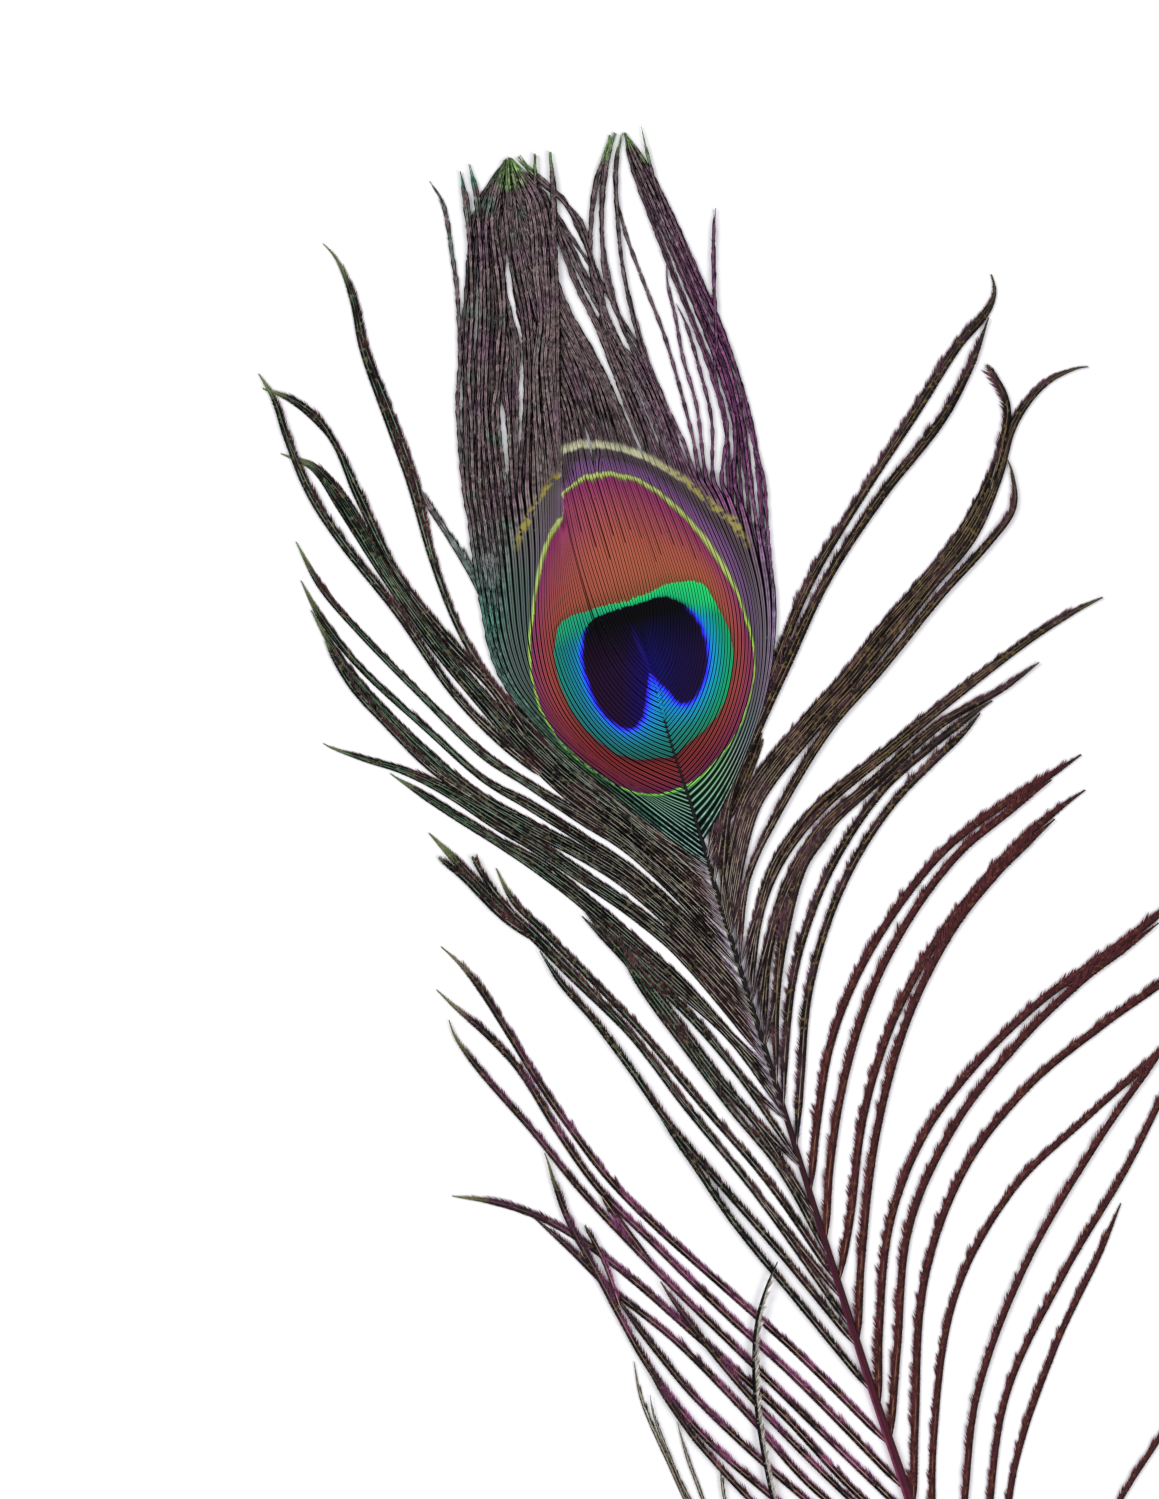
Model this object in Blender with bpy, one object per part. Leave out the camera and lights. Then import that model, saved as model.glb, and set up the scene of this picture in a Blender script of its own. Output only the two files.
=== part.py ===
"""Peacock train feather, lying flat with its front side up.

Millimetres in the tables, metres in the mesh.  The origin is on the flat underside of the shaft, where the
shaft enters the lower edge of the eye.  +Y runs along the feather towards the crest, +Z is up.
Every vane and lock lies on the same surface as the shaft, so all undersides are at z = 0.
"""

import math

import bmesh
import bpy
from mathutils import Vector
from mathutils.geometry import delaunay_2d_cdt, interpolate_bezier

MM = 0.001

# Shaft: the way of its middle line from the trimmed lower end to its tip inside the eye (x, y, width).
SHAFT_WAY = [
    (67.6, -225.0, 2.30), (63.8, -210.0, 2.25), (58.4, -190.0, 2.18), (52.8, -170.0, 2.08),
    (46.9, -150.0, 1.96), (40.8, -130.2, 1.82), (34.3, -111.0, 1.58), (27.6, -90.0, 1.38),
    (21.3, -70.0, 1.18), (15.1, -50.0, 1.05), (12.0, -40.0, 1.00), (8.9, -30.0, 0.97),
    (5.7, -19.6, 0.94), (2.8, -9.6, 0.92), (-0.1, 0.0, 0.90), (-2.1, 6.0, 0.86),
    (-4.8, 14.9, 0.80), (-6.8, 24.2, 0.72), (-9.0, 31.5, 0.60),
]
SHAFT_HEIGHT = 0.88          # height of the shaft as a share of its width
SHAFT_SECTION = [            # half section of the shaft, from the flat underside to the crown
    (0.32, 0.00), (0.50, 0.34), (0.43, 0.76), (0.18, 1.00),
]

GAP = 0.3                    # room between neighbouring pieces
LOCK_HEIGHT = 1.0            # a lock at its ridge
LOCK_EDGE = 0.58             # height of a lock's edge as a share of its ridge
LOCK_TIP = 0.55              # height of a lock's tip as a share of its ridge
THINS_FROM = 0.55            # share of a lock's length after which it thins towards its tip
LEAST_SHARE = 0.5            # no point of a lock is lower than this share of its height
BESIDE_LOCK = 1.08           # in half widths: a point further out than this is beside the lock
VANE_HEIGHT = 1.25           # the closed vane at the middle of the eye
VANE_EDGE = 0.80             # the closed vane at its border
RIB_HEIGHT = 0.3             # how far the vane's ribs rise over it, along its barbs
RIB_HALF_WIDTH = 1.5
EYE_CENTRE = (-8.5, 29.0)
EYE_RADIUS = 34.0            # where the vane has thinned to its border height
STEP_LENGTH = 15.0           # a lock has a station at least this often
STEP_TURN = math.radians(17.0)   # and one for each such turn of its way
CROSSING_FLOOR = 1.3         # underside of the barb that lies across its neighbours
CROSSING_HEIGHT = 0.7
SAME_POINT = 0.004           # plan points nearer than this are one point

# Outline of the closed vane: the eye, the V of barbs below it, the dark fringe and the dense left crest.
VANE_OUTLINE = [
    (3.0, -13.8), (-5.0, -6.8), (-14.0, 0.4), (-23.0, 7.8), (-29.7, 14.6), (-34.6, 20.6),
    (-36.9, 25.4), (-38.2, 31.0), (-39.3, 38.0), (-40.4, 45.0), (-41.4, 53.0), (-42.8, 62.0),
    (-43.3, 74.0), (-42.8, 86.0), (-41.8, 96.0), (-40.4, 104.0), (-37.6, 110.0), (-35.2, 116.5),
    (-34.0, 119.7), (-32.6, 116.5), (-29.5, 112.0), (-25.4, 108.0), (-24.2, 100.0), (-23.8, 93.5),
    (-20.0, 85.5), (-14.5, 77.0), (-11.3, 71.8), (-8.0, 71.5), (-3.5, 70.5), (0.2, 66.0),
    (3.4, 60.8), (5.4, 58.0), (9.0, 57.0), (14.6, 57.5), (15.4, 52.0), (16.3, 45.0), (16.6, 38.0),
    (16.0, 30.0), (14.6, 22.5), (11.6, 14.6), (8.2, 6.5), (5.8, -2.0), (4.6, -10.0), (4.4, -13.8),
]

# Barbs of the closed vane that guide the others, from the left fringe round the shaft's tip to the right one.
# Root first, each point (x, y).
VANE_BARBS = [
    [(-2.0, -7.6), (-11.0, 0.6), (-20.0, 8.0), (-27.4, 15.4), (-33.0, 26.0),
     (-35.6, 38.0), (-36.8, 52.0), (-38.2, 66.0), (-38.8, 80.0)],
    [(-1.0, -1.5), (-6.0, -0.4), (-12.5, 2.2), (-19.0, 6.4), (-25.0, 13.4),
     (-28.6, 22.3), (-29.6, 32.0), (-29.4, 42.0), (-29.6, 54.0), (-31.2, 68.0)],
    [(-2.6, 5.0), (-8.0, 5.8), (-15.6, 9.6), (-22.0, 16.0), (-26.0, 25.0),
     (-27.3, 34.5), (-26.8, 43.0), (-26.2, 54.0), (-26.6, 66.0)],
    [(-4.4, 12.0), (-9.6, 13.4), (-16.0, 17.6), (-20.8, 24.5), (-23.4, 33.0),
     (-24.3, 42.0), (-24.4, 52.0), (-24.2, 62.0)],
    [(-6.0, 18.5), (-10.5, 21.0), (-15.4, 26.0), (-18.6, 33.5), (-20.6, 42.0),
     (-21.8, 50.0), (-22.4, 58.0), (-22.2, 66.0)],
    [(-8.0, 26.0), (-10.9, 29.4), (-13.4, 34.5), (-15.4, 42.0), (-17.2, 50.0),
     (-18.6, 58.0), (-19.6, 66.0)],
    [(-9.2, 33.0), (-9.8, 38.0), (-11.2, 46.0), (-13.2, 55.0), (-15.5, 66.0)],
    [(-4.4, 20.0), (-2.0, 24.0), (-0.8, 30.0), (-1.4, 38.0), (-4.0, 46.5),
     (-7.6, 56.0), (-11.6, 66.0)],
    [(-2.6, 12.4), (0.4, 15.8), (3.4, 22.0), (4.8, 30.0), (3.5, 38.5),
     (0.2, 46.5), (-4.0, 55.5), (-8.4, 65.0)],
    [(-0.7, 5.0), (2.5, 9.0), (6.2, 15.5), (8.6, 24.0), (8.4, 33.0),
     (6.0, 41.0), (2.0, 49.5), (-2.4, 57.5), (-6.0, 65.0)],
    [(2.2, -3.6), (4.7, 2.5), (8.0, 9.5), (11.2, 18.0), (12.0, 27.0),
     (10.9, 36.0), (8.2, 44.0), (4.4, 51.5), (0.6, 58.5)],
]

# Crest locks, which grow on past the eye.  Root first, tip last: x, y, width.
CREST = [
    [(-35.0, 29.0, 2.4), (-39.6, 39.8, 2.2), (-45.0, 49.2, 2.0), (-48.5, 54.6, 1.6), (-50.4, 58.4, 0.5)],
    [(-42.4, 76.0, 1.6), (-43.2, 84.7, 1.7), (-43.8, 92.0, 1.7), (-44.4, 101.2, 1.7), (-46.2, 110.9, 1.6),
     (-48.4, 115.3, 0.5)],
    [(-41.0, 96.0, 1.6), (-40.9, 104.0, 1.6), (-41.4, 111.0, 1.6), (-42.8, 116.8, 0.5)],
    [(-39.2, 104.0, 1.6), (-39.4, 112.0, 1.6), (-41.0, 118.4, 0.5)],
    [(-37.9, 107.0, 1.4), (-37.4, 112.5, 1.3), (-36.7, 116.3, 0.4)],
    [(-29.2, 109.0, 1.4), (-28.8, 115.0, 1.4), (-28.8, 120.2, 0.4)],
    [(-25.5, 100.0, 1.8), (-25.4, 113.0, 1.8), (-25.9, 120.7, 0.8)],
    [(-6.5, 69.0, 6.4), (-10.5, 79.0, 6.2), (-14.5, 88.0, 5.0), (-18.2, 97.0, 3.6), (-21.5, 103.5, 2.4),
     (-25.2, 109.6, 1.6)],
    [(-17.0, 96.0, 1.8), (-20.8, 107.1, 1.5), (-24.1, 112.0, 1.5), (-28.5, 115.8, 1.3), (-32.1, 119.8, 0.5)],
    [(-14.5, 87.0, 1.6), (-18.2, 97.0, 1.6), (-18.6, 105.0, 1.6), (-17.8, 114.0, 1.6), (-15.9, 120.7, 1.4),
     (-14.9, 123.9, 0.5)],
    [(-12.0, 87.0, 1.5), (-15.4, 97.0, 1.5), (-16.4, 106.8, 1.5), (-15.9, 116.6, 1.5), (-14.0, 124.4, 0.5)],
    [(-6.0, 76.0, 1.6), (-9.9, 87.3, 1.5), (-12.5, 99.1, 1.5), (-13.6, 109.4, 1.5), (-13.6, 118.7, 1.4),
     (-12.6, 124.2, 0.5)],
    [(0.2, 68.0, 1.6), (-4.6, 85.7, 1.5), (-8.7, 96.0, 1.5), (-12.1, 105.3, 1.4), (-13.9, 112.6, 1.2)],
    [(3.0, 60.0, 1.8), (1.1, 73.4, 1.7), (-1.5, 82.5, 1.6), (-3.0, 89.3, 1.5), (-4.2, 96.4, 1.3), (-4.6, 99.6, 0.5)],
    [(5.6, 57.0, 1.8), (4.0, 71.0, 1.6), (1.1, 81.6, 1.5), (-1.2, 88.6, 1.3), (-2.5, 92.4, 0.5)],
    [(11.0, 50.0, 8.0), (10.0, 60.0, 8.6), (8.9, 70.0, 6.6), (6.4, 80.0, 6.0), (3.2, 89.0, 5.6), (-0.6, 98.0, 5.0),
     (-4.4, 107.0, 4.6), (-8.4, 115.5, 4.0), (-11.2, 121.0, 2.6), (-12.2, 124.3, 0.8)],
    [(-4.6, 109.0, 1.8), (-6.6, 115.1, 1.7), (-8.0, 120.5, 1.5), (-9.1, 125.5, 0.5)],
    [(5.0, 84.0, 1.8), (4.6, 92.9, 1.6), (4.3, 99.1, 1.5), (4.4, 105.3, 1.4), (4.8, 110.3, 0.5)],
]

# Loose barbs of the left side in the bundles in which they lie, from the eye down.
LEFT = [
    [
        [(4.1, -14.0, 2.0), (-5.0, -7.6, 2.2), (-14.0, -0.4, 2.2), (-23.0, 7.0, 2.2), (-30.4, 14.2, 2.0),
         (-37.6, 22.6, 1.8), (-43.4, 33.0, 1.7), (-48.0, 45.0, 1.7), (-51.6, 59.0, 2.4), (-55.9, 71.0, 2.6),
         (-60.8, 84.0, 2.2), (-62.8, 93.6, 1.8), (-65.9, 100.8, 1.4), (-68.9, 104.2, 0.5)],
    ],
    [
        [(6.3, -21.5, 5.6), (-4.0, -12.0, 5.4), (-13.0, -4.6, 5.0), (-22.0, 2.0, 4.6), (-30.0, 9.2, 4.4),
         (-38.4, 18.4, 3.6), (-47.5, 29.5, 3.4), (-56.9, 42.6, 3.4), (-64.6, 55.0, 3.4), (-70.0, 61.8, 2.4),
         (-74.7, 63.9, 1.6), (-77.0, 64.8, 0.5)],
        [(-30.0, 11.6, 2.0), (-36.9, 21.0, 2.0), (-45.0, 29.6, 1.8), (-54.6, 42.2, 1.8), (-61.6, 56.5, 1.9),
         (-66.2, 66.5, 1.9), (-70.1, 71.6, 1.8), (-74.7, 74.8, 1.6), (-80.4, 76.9, 0.5)],
        [(-27.0, 4.2, 1.8), (-35.3, 10.9, 1.8), (-44.2, 20.2, 1.8), (-54.6, 35.1, 1.8), (-65.0, 48.0, 1.9),
         (-70.9, 57.4, 1.9), (-75.3, 68.0, 1.6), (-77.4, 74.4, 1.5), (-80.8, 80.1, 0.5)],
    ],
    [
        [(8.4, -28.5, 3.2), (-2.0, -17.4, 3.2), (-11.6, -8.8, 2.8), (-20.0, -3.2, 2.8), (-30.0, 2.9, 2.2),
         (-38.6, 8.6, 2.0), (-50.0, 19.4, 1.8), (-61.9, 31.4, 1.8), (-69.0, 40.0, 1.7), (-73.8, 48.8, 0.5)],
    ],
    [
        [(10.3, -34.4, 2.6), (-2.6, -20.8, 2.6), (-12.0, -12.4, 2.4), (-20.0, -7.2, 2.4), (-30.0, -1.0, 2.2),
         (-38.6, 3.8, 2.0), (-48.8, 13.0, 1.8), (-61.2, 24.6, 1.8), (-68.6, 34.0, 1.7), (-72.9, 41.6, 0.5)],
    ],
    [
        [(11.6, -38.6, 3.2), (-2.0, -23.9, 3.4), (-12.0, -15.3, 3.2), (-20.0, -10.3, 3.2), (-30.0, -4.8, 3.2),
         (-40.0, 1.2, 3.0), (-50.3, 9.8, 2.4), (-59.6, 19.6, 2.0), (-67.0, 29.0, 1.7), (-71.0, 36.0, 0.5)],
        [(-40.0, 0.2, 1.8), (-48.4, 6.0, 1.8), (-57.0, 14.4, 1.8), (-63.0, 21.5, 1.7), (-68.4, 30.3, 0.5)],
    ],
    [
        [(13.6, -45.0, 3.0), (-1.0, -29.0, 3.6), (-10.0, -21.2, 3.4), (-20.0, -14.2, 3.2), (-28.0, -8.9, 3.4),
         (-36.0, -4.0, 3.6), (-44.0, 1.0, 3.0), (-52.0, 4.8, 2.2), (-61.0, 7.8, 1.8), (-66.6, 9.6, 1.5),
         (-69.0, 10.9, 0.5)],
    ],
    [
        [(16.6, -55.0, 2.0), (8.0, -44.6, 2.6), (-2.0, -34.6, 3.6), (-11.0, -26.6, 3.6), (-20.0, -18.8, 3.8),
         (-28.0, -12.6, 3.2), (-36.0, -7.6, 2.4), (-43.0, -3.4, 2.0), (-49.6, 0.9, 1.8), (-54.6, 4.0, 1.2),
         (-56.5, 5.4, 0.5)],
        [(19.6, -64.4, 1.6), (10.4, -52.6, 1.9), (2.0, -42.4, 2.0), (-7.0, -33.2, 2.4), (-16.0, -23.8, 2.4)],
        [(22.1, -72.6, 1.4), (13.6, -61.4, 1.8), (4.4, -50.8, 2.0), (-5.1, -37.8, 2.0), (-13.0, -28.6, 2.0),
         (-20.4, -20.8, 2.2)],
        [(25.7, -84.0, 1.4), (17.0, -69.0, 1.7), (7.6, -57.6, 1.8), (-1.0, -45.6, 1.9), (-7.4, -36.8, 1.8),
         (-13.0, -28.6, 1.6)],
    ],
    [
        [(27.6, -90.0, 1.4), (14.6, -71.6, 1.8), (1.4, -55.6, 1.9), (-9.8, -42.6, 1.9), (-21.0, -30.8, 2.2),
         (-28.2, -23.6, 1.9), (-33.0, -18.6, 1.7), (-36.5, -12.0, 0.5)],
        [(29.6, -96.2, 1.4), (12.8, -73.9, 1.8), (-1.0, -57.0, 1.9), (-10.9, -44.0, 1.9), (-22.0, -32.4, 2.2),
         (-30.0, -24.6, 2.0), (-37.2, -18.0, 1.9), (-44.1, -10.9, 1.8), (-49.2, -5.6, 0.5)],
        [(-28.0, -26.6, 1.8), (-34.9, -21.8, 1.7), (-42.6, -14.1, 1.6), (-47.5, -10.2, 0.5)],
        [(-32.0, -22.0, 1.6), (-36.2, -17.4, 1.6), (-38.8, -13.6, 1.5), (-41.0, -9.8, 0.5)],
        [(31.4, -102.0, 1.4), (17.4, -85.2, 1.8), (4.6, -70.6, 1.8), (-3.8, -60.6, 1.8), (-11.0, -50.0, 2.0),
         (-18.0, -41.0, 2.2), (-24.0, -34.0, 2.2), (-28.6, -27.6, 1.8)],
        [(34.1, -110.4, 1.4), (19.6, -93.0, 1.8), (8.0, -78.6, 1.8), (-0.4, -66.4, 1.8), (-6.0, -58.4, 1.6)],
    ],
    [
        [(37.5, -120.6, 1.4), (20.0, -103.4, 1.8), (6.0, -90.6, 1.9), (-7.0, -79.0, 1.9), (-15.4, -70.2, 1.9),
         (-23.2, -60.0, 2.0), (-28.8, -51.6, 1.9), (-34.0, -43.0, 1.8), (-39.4, -34.7, 1.6), (-43.0, -30.4, 1.3),
         (-47.0, -26.8, 0.4)],
        [(40.5, -129.2, 1.4), (20.0, -108.2, 1.8), (6.0, -95.4, 1.9), (-7.5, -81.8, 1.9), (-17.0, -72.4, 1.9),
         (-24.8, -61.4, 2.0), (-32.0, -50.4, 1.8), (-38.5, -43.2, 1.7), (-43.9, -38.5, 1.6), (-47.8, -34.8, 0.4)],
        [(42.3, -135.0, 1.4), (26.4, -119.5, 1.8), (9.0, -102.8, 1.8), (-6.3, -87.4, 1.8), (-20.0, -72.9, 1.8),
         (-29.6, -61.4, 1.8), (-37.9, -52.0, 1.8), (-43.5, -44.6, 1.6), (-45.2, -40.2, 0.4)],
        [(-17.0, -73.0, 1.6), (-12.3, -80.0, 1.8), (-7.0, -86.6, 1.6)],
    ],
    [
        [(43.8, -140.0, 1.4), (31.0, -129.2, 1.8), (16.4, -113.6, 1.8), (1.4, -100.1, 1.9), (-13.6, -86.9, 1.9),
         (-24.6, -79.5, 1.9), (-34.8, -75.2, 1.7), (-45.1, -73.7, 0.4)],
        [(45.2, -144.6, 1.4), (23.8, -128.8, 1.8), (10.1, -113.8, 1.8), (-2.7, -100.8, 1.8), (-15.4, -90.5, 1.8),
         (-22.7, -83.3, 1.5), (-29.8, -77.2, 0.8)],
        [(46.6, -149.0, 1.4), (30.7, -137.6, 1.6), (16.0, -125.4, 1.8), (1.0, -111.5, 1.8), (-6.8, -101.9, 1.6),
         (-14.4, -91.8, 1.2)],
        [(47.7, -152.6, 1.4), (28.1, -139.6, 1.6), (12.3, -127.4, 1.8), (1.0, -116.9, 1.8), (-7.7, -105.6, 1.6),
         (-13.2, -96.0, 1.4), (-17.3, -88.2, 1.3), (-22.3, -79.1, 1.2), (-25.4, -71.0, 1.1), (-26.4, -67.6, 0.9),
         (-27.4, -65.0, 0.4)],
        [(-12.6, -95.6, 1.3), (-16.0, -86.0, 1.2), (-20.0, -78.5, 0.4)],
        [(49.1, -157.6, 1.4), (31.5, -147.4, 1.6), (14.1, -133.4, 1.7), (2.3, -120.6, 1.7), (-3.6, -112.6, 1.6),
         (-9.1, -103.7, 1.4)],
        [(44.5, -142.2, 1.4), (31.5, -131.6, 1.6), (20.0, -120.6, 1.7), (11.6, -111.8, 1.7), (4.5, -103.2, 1.7),
         (-2.2, -94.3, 1.7), (-6.0, -89.0, 1.5)],
    ],
    [
        [(53.4, -172.0, 1.3), (35.8, -165.0, 1.4), (16.6, -151.0, 1.5), (2.6, -136.4, 1.5), (-4.5, -122.4, 1.4),
         (-9.1, -111.5, 1.3), (-10.6, -103.8, 0.4)],
        [(56.9, -184.6, 1.3), (38.1, -172.0, 1.4), (18.7, -155.0, 1.4), (6.0, -138.0, 1.4), (0.0, -124.0, 1.2),
         (-1.9, -117.8, 0.8), (-2.5, -115.1, 0.4)],
        [(34.0, -169.0, 1.2), (18.0, -156.0, 1.2), (6.4, -140.0, 1.2), (-0.4, -129.7, 1.1), (-4.5, -120.6, 0.9),
         (-7.0, -113.8, 0.7), (-7.5, -110.0, 0.3)],
        [(20.0, -155.6, 1.2), (10.6, -142.0, 1.2), (6.4, -130.2, 0.8), (5.6, -123.3, 0.3)],
    ],
    [
        [(58.6, -190.6, 1.3), (40.3, -182.0, 1.4), (24.8, -169.0, 1.4), (14.5, -158.0, 1.2), (9.0, -149.0, 0.5)],
    ],
    [
        [(61.0, -199.6, 1.3), (44.4, -191.0, 1.4), (30.8, -179.0, 1.3), (21.0, -169.0, 0.5)],
    ],
]

# Loose barbs of the right side, from the eye down.
RIGHT = [
    [
        [(3.8, -13.0, 1.4), (6.0, 0.2, 1.8), (9.7, 11.3, 1.8), (15.6, 24.6, 1.9), (22.3, 40.8, 1.9),
         (32.6, 57.8, 1.9), (41.9, 72.5, 1.9), (50.0, 84.7, 1.8), (55.4, 91.0, 1.7), (56.8, 94.7, 1.2),
         (55.9, 98.7, 0.5)],
        [(5.1, -17.4, 1.4), (7.2, -0.5, 1.8), (11.6, 11.3, 1.8), (17.9, 25.3, 1.9), (25.2, 40.8, 1.9),
         (35.6, 56.3, 1.9), (46.6, 70.7, 1.9), (52.2, 80.7, 1.8), (55.9, 90.6, 1.4)],
    ],
    [
        [(6.6, -22.6, 2.4), (9.2, -7.5, 4.2), (12.4, 1.4, 4.6), (22.1, 13.8, 4.6), (29.5, 21.9, 4.6),
         (36.9, 31.4, 4.6), (44.3, 40.2, 4.4), (51.6, 49.6, 4.2), (56.9, 60.4, 3.2), (60.3, 70.0, 2.0),
         (65.8, 77.3, 1.6), (71.7, 80.3, 1.3), (74.9, 80.8, 0.4)],
        [(55.6, 57.0, 1.8), (58.4, 67.4, 1.6), (59.0, 74.0, 1.3), (54.9, 81.8, 0.4)],
        [(8.3, -28.0, 1.4), (10.6, -15.0, 1.7), (15.8, -3.0, 1.9), (25.6, 13.0, 1.9), (35.6, 24.6, 1.9),
         (46.6, 37.9, 2.0), (56.0, 48.4, 2.0), (60.3, 54.6, 1.6), (59.9, 61.5, 1.2), (58.6, 64.4, 0.6)],
    ],
    [
        [(10.0, -33.4, 1.6), (12.6, -22.0, 2.2), (16.4, -11.6, 3.0), (24.0, -1.4, 3.0), (36.3, 8.8, 2.4),
         (49.6, 19.6, 2.2), (62.1, 29.2, 2.0), (70.3, 34.4, 1.6), (77.6, 38.1, 0.5)],
        [(12.6, -41.8, 1.8), (14.6, -28.0, 2.2), (18.4, -16.0, 3.2), (25.0, -5.0, 3.0), (34.0, 3.0, 2.4),
         (46.6, 14.2, 2.0), (57.7, 20.4, 1.6), (65.7, 26.1, 0.5)],
        [(15.0, -49.6, 1.3), (15.9, -38.0, 1.8), (17.6, -25.0, 2.0), (21.4, -12.0, 2.0), (27.0, -4.0, 2.0)],
    ],
    [
        [(17.4, -57.4, 1.2), (17.7, -47.0, 1.9), (19.2, -33.0, 2.0), (22.5, -21.0, 2.0), (27.5, -10.0, 2.0),
         (35.6, 1.7, 1.9), (44.5, 9.8, 1.8), (53.3, 16.5, 1.6), (57.0, 18.9, 0.5)],
        [(19.8, -65.2, 1.2), (20.6, -51.0, 1.8), (22.0, -37.0, 1.9), (25.4, -23.4, 1.9), (30.6, -11.4, 1.9),
         (37.8, -0.5, 1.8), (45.9, 7.8, 1.6), (51.0, 12.6, 1.4), (54.6, 16.8, 1.0)],
    ],
    [
        [(22.4, -73.4, 1.2), (23.7, -60.0, 1.6), (26.0, -45.6, 1.9), (31.2, -33.0, 1.9), (38.7, -20.0, 1.9),
         (47.5, -9.0, 1.9), (58.0, -1.0, 2.2), (66.0, 3.8, 2.0), (73.6, 8.9, 0.5)],
        [(25.1, -82.2, 1.2), (26.2, -67.0, 1.7), (29.2, -50.0, 1.9), (34.2, -34.6, 1.9), (41.5, -21.0, 1.9),
         (50.2, -9.8, 1.8), (58.0, -3.0, 1.8), (64.0, 1.4, 1.6), (68.0, 4.2, 1.0)],
    ],
    [
        [(27.6, -90.0, 1.2), (29.7, -78.0, 1.7), (32.4, -59.0, 1.9), (37.4, -42.0, 1.9), (45.5, -27.0, 2.0),
         (54.6, -15.0, 2.0), (62.4, -6.8, 2.0), (69.6, -1.0, 1.9), (74.3, 2.3, 0.5)],
        [(31.4, -101.8, 1.2), (32.0, -86.0, 1.8), (34.4, -63.0, 1.9), (40.2, -42.0, 1.9), (48.6, -24.8, 1.9),
         (57.6, -13.4, 1.9), (64.2, -6.8, 1.8), (68.6, -3.0, 1.3)],
    ],
    [
        [(35.3, -114.0, 1.2), (35.5, -99.0, 1.7), (37.4, -79.0, 1.9), (43.6, -62.7, 1.9), (53.4, -49.3, 1.9),
         (64.7, -37.6, 1.9), (75.0, -30.2, 2.0), (84.0, -23.9, 1.9), (91.0, -18.0, 1.5), (94.6, -14.0, 0.5)],
        [(37.3, -119.8, 1.2), (38.6, -102.0, 1.7), (41.0, -79.6, 1.9), (49.0, -60.8, 1.9), (61.0, -45.3, 1.9),
         (73.0, -33.6, 1.9), (82.0, -27.0, 1.8), (88.0, -22.4, 1.2)],
    ],
    [
        [(41.7, -133.0, 1.2), (41.7, -116.3, 1.8), (43.6, -90.0, 1.9), (50.8, -69.2, 1.9), (63.0, -53.4, 1.9),
         (77.0, -41.8, 1.9), (88.0, -33.8, 1.7), (96.0, -27.0, 0.5)],
    ],
    [
        [(45.2, -144.6, 1.2), (45.4, -119.5, 1.8), (49.4, -92.8, 1.9), (60.0, -72.8, 1.9), (74.4, -58.5, 1.9),
         (87.4, -47.2, 2.0), (94.0, -40.0, 1.6), (97.4, -34.6, 0.5)],
        [(48.4, -155.0, 1.2), (51.0, -131.0, 1.8), (53.7, -110.4, 1.9), (62.6, -86.6, 1.9), (75.6, -64.0, 1.9),
         (86.4, -48.6, 1.8), (91.6, -42.2, 1.2)],
    ],
    [
        [(51.1, -164.4, 1.2), (55.0, -138.0, 1.8), (58.8, -111.1, 1.9), (69.5, -88.4, 1.9), (80.8, -69.0, 1.9),
         (87.4, -56.6, 1.8), (93.4, -43.6, 0.5)],
    ],
    [
        [(53.9, -174.0, 1.2), (57.8, -150.0, 1.7), (60.4, -125.0, 1.8), (68.0, -101.8, 1.8), (76.0, -85.0, 1.6),
         (80.6, -74.4, 0.5)],
    ],
    [
        [(56.0, -181.6, 1.2), (59.2, -164.0, 1.5), (64.3, -148.0, 1.5), (70.0, -135.0, 0.5)],
    ],
    [
        [(58.0, -188.6, 1.2), (62.1, -170.0, 1.5), (69.4, -151.0, 1.6), (80.3, -130.0, 1.6), (89.0, -116.4, 1.4),
         (95.0, -106.0, 0.5)],
    ],
    [
        [(61.0, -199.6, 1.2), (66.4, -184.0, 1.4), (75.5, -167.0, 1.3), (84.0, -154.0, 0.5)],
    ],
]

# The one loose barb that lies across its neighbours on the lower left.
CROSSING = [(55.0, -178.0, 1.2), (39.4, -168.0, 1.4), (25.5, -153.0, 1.4), (17.6, -137.0, 1.5), (14.0, -123.0, 1.5),
            (12.2, -110.0, 1.5), (12.3, -99.2, 1.4), (14.2, -91.0, 1.3), (16.6, -85.2, 0.4)]

SHAFT_COLOUR = (0.12, 0.012, 0.035, 1.0)
VANE_COLOUR = (0.30, 0.10, 0.05, 1.0)
LEFT_COLOURS = [(0.035, 0.075, 0.055, 1.0), (0.060, 0.035, 0.035, 1.0)]
RIGHT_COLOURS = [(0.085, 0.045, 0.085, 1.0), (0.080, 0.030, 0.030, 1.0)]
CROSSING_COLOUR = (0.30, 0.27, 0.22, 1.0)


# ---------------------------------------------------------------- ways and ribbons

def smooth_way(points):
    """A smooth way through the points, each (x, y, width), with few stations where it runs straight."""
    way = [Vector(point) for point in points]
    last = len(way) - 1
    slopes = []
    for i in range(last + 1):
        before = way[max(i - 1, 0)]
        after = way[min(i + 1, last)]
        slopes.append((after - before).normalized())
    stations = []
    for i in range(last):
        here, there = way[i], way[i + 1]
        span = (there - here).length
        turn = slopes[i].to_2d().angle(slopes[i + 1].to_2d())
        steps = max(1, math.ceil(max(span / STEP_LENGTH, turn / STEP_TURN)))
        reach = span / 3.0
        curve = interpolate_bezier(here, here + slopes[i] * reach, there - slopes[i + 1] * reach, there, steps + 1)
        stations.extend(curve[:-1])
    stations.append(way[last])
    return stations


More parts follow.
